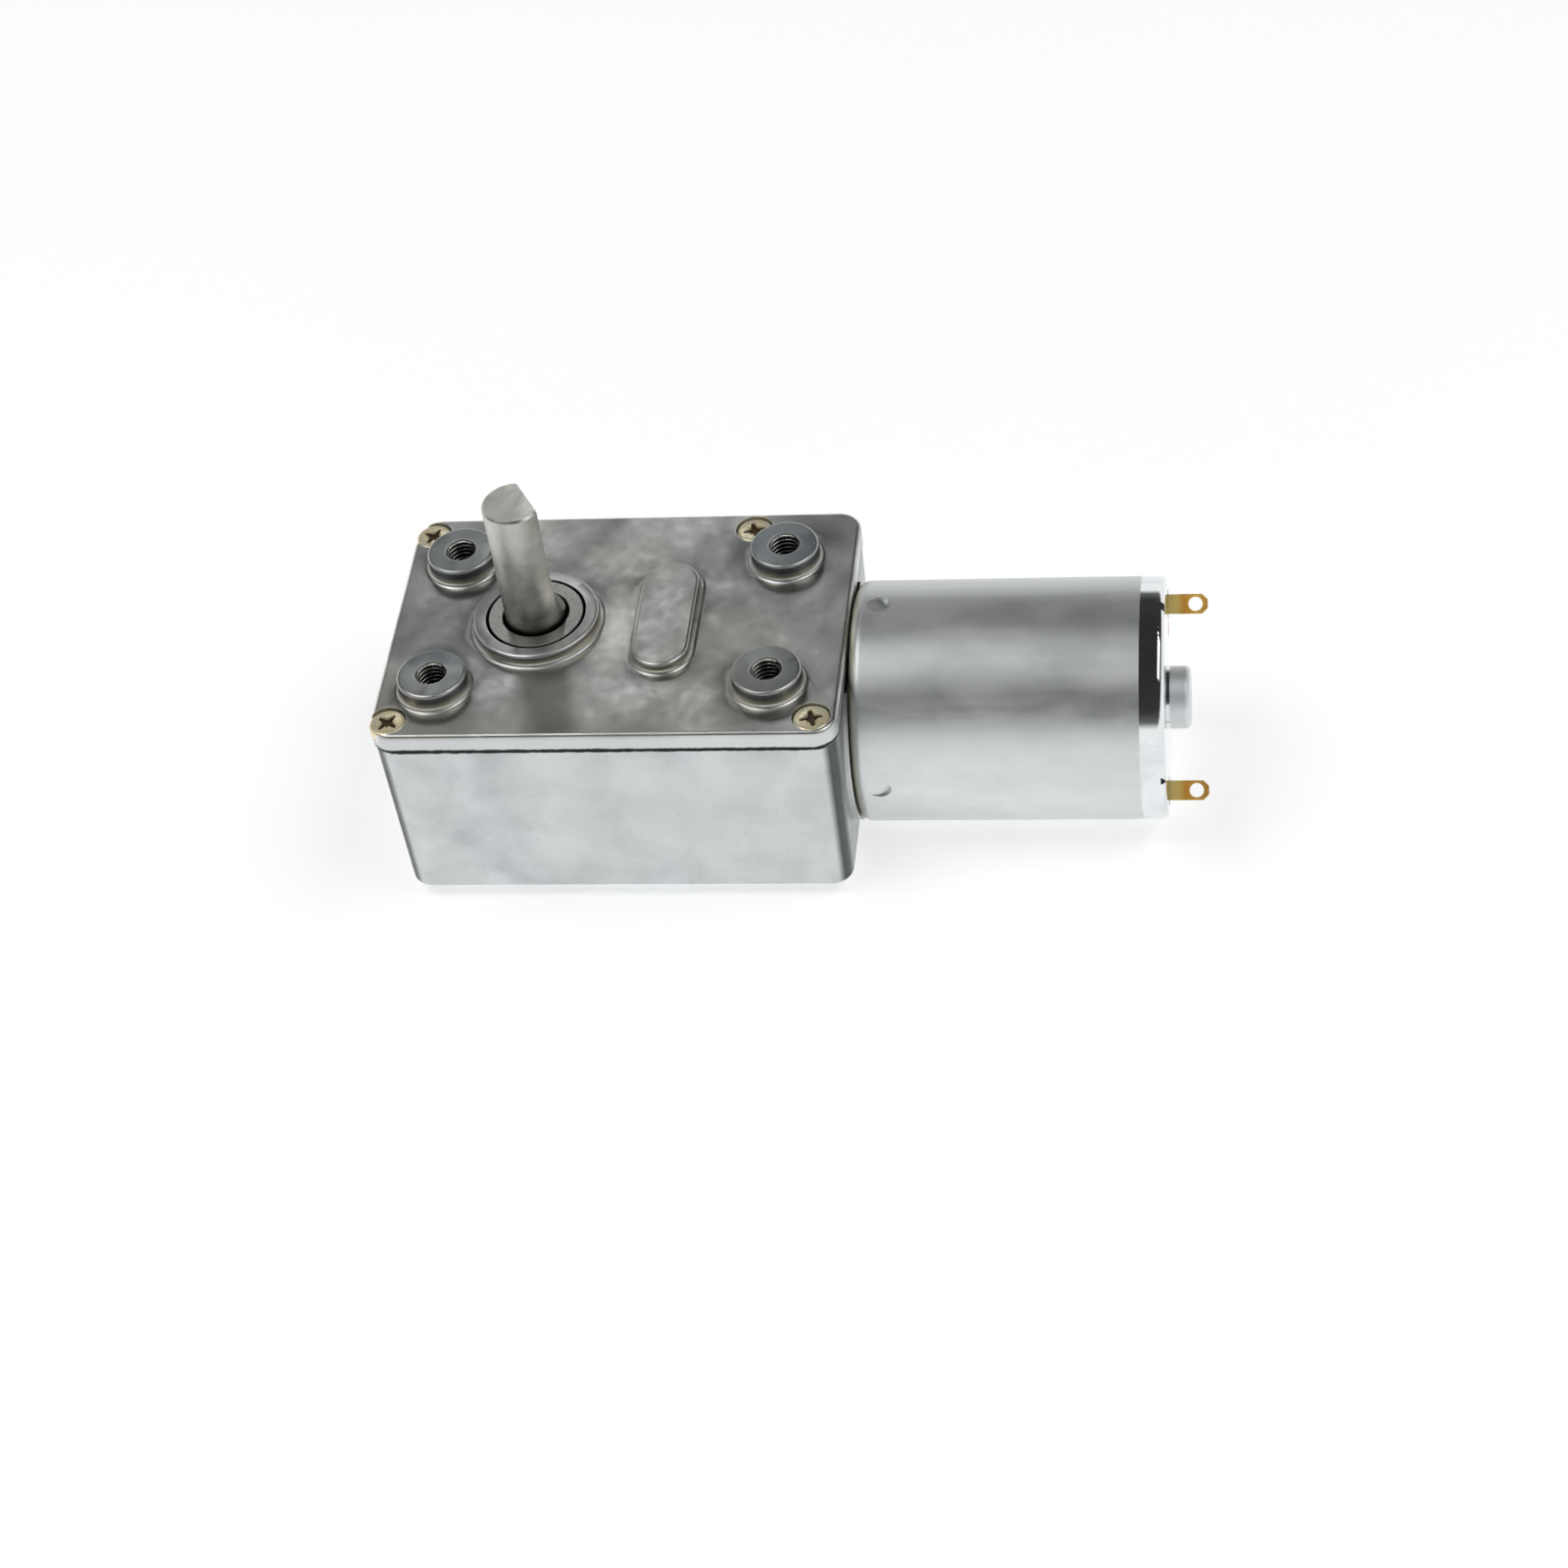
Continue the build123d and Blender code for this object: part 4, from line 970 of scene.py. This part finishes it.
def makeThreadTree(settings):
    tree, given, output = newTree("bossThreadTree", [
        ("Turns", "NodeSocketFloat", 7.0),
        ("Height", "NodeSocketFloat", 0.0035),
        ("Crest Radius", "NodeSocketFloat", 0.00125),
        ("Depth", "NodeSocketFloat", 0.00025),
        ("Steps", "NodeSocketInt", 28),
        ("Material", "NodeSocketMaterial", None),
    ])
    depth = given.outputs["Depth"]
    middle = addLinked(
        tree,
        "ShaderNodeMath",
        {0: depth, 1: settings["middleShare"], 2: given.outputs["Crest Radius"]},
        operation="MULTIPLY_ADD",
    )
    spiral = addLinked(tree, "GeometryNodeCurveSpiral", {
        "Resolution": given.outputs["Steps"],
        "Rotations": given.outputs["Turns"],
        "Height": given.outputs["Height"],
        "Start Radius": middle.outputs[0],
        "End Radius": middle.outputs[0],
    })
    level = addLinked(tree, "GeometryNodeSetCurveNormal", {0: spiral.outputs[0]}, mode="Z_UP")
    share = addLinked(tree, "ShaderNodeMath", {0: depth, 1: settings["ridgeShare"]}, operation="MULTIPLY")
    inputs = {"Resolution": settings["ridgeSides"], "Radius": share.outputs[0]}
    ridge = addLinked(tree, "GeometryNodeCurvePrimitiveCircle", inputs, mode="RADIUS")
    inputs = {"Curve": level.outputs[0], "Profile Curve": ridge.outputs[0], "Fill Caps": True}
    sweep = addLinked(tree, "GeometryNodeCurveToMesh", inputs)
    inputs = {"Points": given.outputs["Geometry"], "Instance": sweep.outputs[0]}
    place = addLinked(tree, "GeometryNodeInstanceOnPoints", inputs)
    finishTree(tree, place.outputs[0], given, output)
    return tree


threads = growPiece(
    "boss_threads",
    [(x * mm, y * mm, bossThread["bottom"] * mm) for x, y in bossThread["centres"]],
    makeThreadTree(bossThread),
    {
        "Turns": (bossThread["top"] - bossThread["bottom"]) / bossThread["pitch"],
        "Height": (bossThread["top"] - bossThread["bottom"]) * mm,
        "Crest Radius": bossThread["coreRadius"] * mm,
        "Depth": (bossThread["outerRadius"] - bossThread["coreRadius"]) * mm,
        "Steps": bossThread["stepsPerTurn"],
        "Material": materials["threadZinc"],
    },
)
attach(threads, "gearbox")

coverScrew = {
    "headRadius": 1.8,
    "headTop": -2.05,
    "headHeight": 1.1,
    "dome": 0.14,
    "rim": 0.26,
    "armLength": 1.18,
    "armWidth": 0.36,
    "armTaper": 0.26,
    "notchLength": 0.86,
    "notchWidth": 0.24,
    "notchTaper": 0.04,
    "notchShare": 0.55,      # how deep the notches are beside the arms
    "recessDepth": 0.62,
    "recessFall": 0.35,      # how much shallower an arm is at its end
    "wallSlope": 0.10,
    "rimFoot": 1.2,
    "footChamfer": 0.05,
    "neck": 0.2,
    "shankRadius": 0.95,
    "shankLength": 6.4,
    "threadPitch": 0.62,
    "threadDepth": 0.16,
    "threadCrest": (0.45, 0.55),
    "plainTip": 0.5,
    "tipLength": 0.3,
    "tipShare": 0.55,
    "rings": 46,
    "steps": 144,
    "sharpAngle": 38.0,
}


def recessAt(x, y, screw):
    # how deep the star recess is at a point of the head: four tapered arms and four slim notches
    deepest = 0.0
    for turn, length, width, taper, share in (
        (0.0, screw["armLength"], screw["armWidth"], screw["armTaper"], 1.0),
        (math.pi / 4, screw["notchLength"], screw["notchWidth"], screw["notchTaper"], screw["notchShare"]),
    ):
        across = x * math.cos(turn) + y * math.sin(turn)
        along = y * math.cos(turn) - x * math.sin(turn)
        for u, v in ((abs(across), abs(along)), (abs(along), abs(across))):
            inside = min(length - u, width / 2 + taper * (1 - u / length) - v)
            if inside > 0:
                fall = 1 - screw["recessFall"] * u / length
                deepest = max(deepest, share * min(1.0, inside / screw["wallSlope"]) * fall)
    return deepest * screw["recessDepth"]


def screwMesh(screw):
    work = bmesh.new()
    radius = screw["headRadius"]
    shank = screw["shankRadius"]
    root = shank - screw["threadDepth"]
    pitch = screw["threadPitch"]
    underside = -screw["headHeight"]
    # (radius, height) from the middle of the head to the tip; the head's own heights come later
    profile = [(radius * ring / screw["rings"], None) for ring in range(1, screw["rings"] + 1)]
    profile += [
        (radius, -screw["dome"] - screw["rim"] * screw["rimFoot"]),
        (radius, underside + screw["footChamfer"]),
        (radius - screw["footChamfer"], underside),
        (shank, underside),
    ]
    for turn in range(int((screw["shankLength"] - screw["plainTip"]) / pitch)):
        top = underside - screw["neck"] - turn * pitch
        profile.append((root, top))
        profile += [(shank, top - pitch * share) for share in screw["threadCrest"]]
    profile.append((root, underside - screw["shankLength"] + screw["tipLength"]))
    profile.append((shank * screw["tipShare"], underside - screw["shankLength"]))
    centre = work.verts.new((0, 0, -recessAt(0, 0, screw) * mm))
    rows = []
    for reach, height in profile:
        row = []
        for step in range(screw["steps"]):
            angle = 2 * math.pi * step / screw["steps"]
            x, y = reach * math.cos(angle), reach * math.sin(angle)
            if height is None:
                share = reach / radius
                z = -screw["dome"] * share * share
                edge = max(0.0, reach - (radius - screw["rim"])) / screw["rim"]
                z -= screw["rim"] * (1 - math.sqrt(max(0.0, 1 - edge * edge)))
                z -= recessAt(x, y, screw)
            else:
                z = height
            row.append(work.verts.new((x * mm, y * mm, z * mm)))
        rows.append(row)
    steps = screw["steps"]
    for step in range(steps):
        work.faces.new((centre, rows[0][step], rows[0][(step + 1) % steps]))
    for inner, outer in zip(rows, rows[1:]):
        for step in range(steps):
            after = (step + 1) % steps
            work.faces.new((inner[step], outer[step], outer[after], inner[after]))
    work.faces.new(list(reversed(rows[-1])))
    bmesh.ops.recalc_face_normals(work, faces=work.faces)
    for face in work.faces:
        face.smooth = True
    for edge in work.edges:
        edge.smooth = edge.calc_face_angle(0.0) < math.radians(screw["sharpAngle"])
    mesh = bpy.data.meshes.new("coverScrew")
    work.to_mesh(mesh)
    work.free()
    return mesh


def makeScrewTree():
    tree, given, output = newTree("coverScrewTree", [
        ("Screw", "NodeSocketObject", None),
        ("Turn", "NodeSocketFloat", 0.0),
        ("Turn Spread", "NodeSocketFloat", 0.7),
        ("Seed", "NodeSocketInt", 7),
        ("Material", "NodeSocketMaterial", None),
    ])
    source = addLinked(tree, "GeometryNodeObjectInfo", {"Object": given.outputs["Screw"]})
    inputs = {2: given.outputs["Turn"], 3: given.outputs["Turn Spread"], "Seed": given.outputs["Seed"]}
    chance = addLinked(tree, "FunctionNodeRandomValue", inputs, data_type="FLOAT")
    turn = addLinked(tree, "ShaderNodeCombineXYZ", {"Z": chance.outputs[1]})
    place = addLinked(tree, "GeometryNodeInstanceOnPoints", {
        "Points": given.outputs["Geometry"],
        "Instance": source.outputs["Geometry"],
        "Rotation": turn.outputs[0],
    })
    finishTree(tree, place.outputs[0], given, output)
    return tree


screwSource = bpy.data.objects.new("screwSource", screwMesh(coverScrew))
bpy.context.scene.collection.objects.link(screwSource)
screws = growPiece(
    "cover_screw_set",
    [(x * mm, y * mm, coverScrew["headTop"] * mm) for x, y in screwPlaces],
    makeScrewTree(),
    {"Screw": screwSource, "Turn": 0.1, "Turn Spread": 1.3, "Seed": 4, "Material": materials["warmNickel"]},
)
bpy.data.objects.remove(screwSource)
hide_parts("cover_screws")
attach(screws, "gearbox")
print("threads and screws grown:", len(threads.data.polygons), len(screws.data.polygons), "faces")


# camera, placed from the points that were fitted in the photograph

cameraView = {
    "azimuth": 12.06,
    "elevation": 44.76,
    "roll": -9.02,
    "distance": 324.57,
    "target": (26.91, -22.64, -1.95),
    "lens": 79.745,
    "sensor": 36.0,
    "clip": (0.01, 20.0),
}


def makeCamera(view):
    data = bpy.data.cameras.new("photoCamera")
    data.lens = view["lens"]
    data.sensor_width = view["sensor"]
    data.clip_start, data.clip_end = view["clip"]
    cameraObject = bpy.data.objects.new("photoCamera", data)
    bpy.context.scene.collection.objects.link(cameraObject)
    turn = math.radians(view["azimuth"])
    rise = math.radians(view["elevation"])
    roll = math.radians(view["roll"])
    back = Vector((math.sin(turn) * math.cos(rise), -math.cos(turn) * math.cos(rise), math.sin(rise)))
    side = Vector((math.cos(turn), math.sin(turn), 0.0))
    up = back.cross(side)
    rolledSide = side * math.cos(roll) + up * math.sin(roll)
    rolledUp = up * math.cos(roll) - side * math.sin(roll)
    place = (Vector(view["target"]) + back * view["distance"]) * mm
    axes = Matrix((rolledSide, rolledUp, back)).transposed().to_4x4()
    cameraObject.matrix_world = Matrix.Translation(place) @ axes
    bpy.context.scene.camera = cameraObject


makeCamera(cameraView)
print("camera made")


# pale floor and soft studio light

studio = {
    "floorSize": 3.0,
    "floorColour": (0.90, 0.90, 0.90),
    "floorShade": (0.892, 0.892, 0.892),
    "floorToneScale": 18.0,
    "floorRoughness": 0.9,
    "floorSpecular": 0.1,
    "floorGlow": 0.50,
    "farGlow": 0.95,
    "glowReach": (0.35, 1.2),
    "skyStops": [(0.00, 1.00), (0.24, 1.00), (0.34, 0.14), (0.50, 0.04), (1.00, 0.03)],
    "lights": [
        # name, place, aimed at, width, height, watts
        ("coverSoft", (-0.118, 0.431, 0.400), (0.008, -0.002, -0.002), 0.10, 0.10, 0.072),
        ("leftSoft", (-0.33, -0.08, 0.62), (-0.33, -0.08, 0.0), 0.42, 0.50, 1.75),
        ("rightSoft", (0.44, -0.08, 0.62), (0.44, -0.08, 0.0), 0.42, 0.50, 1.75),
    ],
}


def makeFloor(settings):
    half = settings["floorSize"] / 2
    low = cadLow.z
    mesh = bpy.data.meshes.new("floor")
    corners = [(-half, -half, low), (half, -half, low), (half, half, low), (-half, half, low)]
    mesh.from_pydata(corners, [], [(0, 1, 2, 3)])
    material, tree, shader = newMaterial("paleFloor")
    tone = noise(tree, objectPoint(tree), settings["floorToneScale"], detail=2.0)
    tone = ramp(tree, tone, [(0.3, settings["floorShade"]), (0.7, settings["floorColour"])])
    tree.links.new(tone, shader.inputs["Base Color"])
    shader.inputs["Roughness"].default_value = settings["floorRoughness"]
    shader.inputs["Specular IOR Level"].default_value = settings["floorSpecular"]
    shader.inputs["Emission Color"].default_value = (1.0, 1.0, 1.0, 1.0)
    # the sweep stays white far from the lamps
    reach = vectorStep(tree, "LENGTH", objectPoint(tree))
    glow = remap(tree, reach, settings["floorGlow"], settings["farGlow"], *settings["glowReach"])
    tree.links.new(glow, shader.inputs["Emission Strength"])
    mesh.materials.append(material)
    floor = bpy.data.objects.new("floor", mesh)
    bpy.context.scene.collection.objects.link(floor)


def makeLight(name, place, target, width, height, watts):
    data = bpy.data.lights.new(name, "AREA")
    data.shape = "RECTANGLE"
    data.size = width
    data.size_y = height
    data.energy = watts
    lamp = bpy.data.objects.new(name, data)
    lamp.location = place
    lamp.rotation_euler = (Vector(target) - Vector(place)).to_track_quat("-Z", "Y").to_euler()
    bpy.context.scene.collection.objects.link(lamp)


def makeSky(settings):
    # bright at the horizon, as a white sweep is, and dim overhead
    world = bpy.data.worlds.new("studioSky")
    world.use_nodes = True
    tree = world.node_tree
    background = tree.nodes["Background"]
    source = addNode(tree, "ShaderNodeTexCoord")
    parts = addNode(tree, "ShaderNodeSeparateXYZ")
    tree.links.new(source.outputs["Generated"], parts.inputs[0])
    tone = ramp(tree, parts.outputs["Z"], [(stop, grey(level)) for stop, level in settings["skyStops"]])
    tree.links.new(tone, background.inputs["Color"])
    bpy.context.scene.world = world


makeFloor(studio)
for light in studio["lights"]:
    makeLight(*light)
makeSky(studio)
bpy.context.scene.view_settings.view_transform = "Standard"
print("studio made")
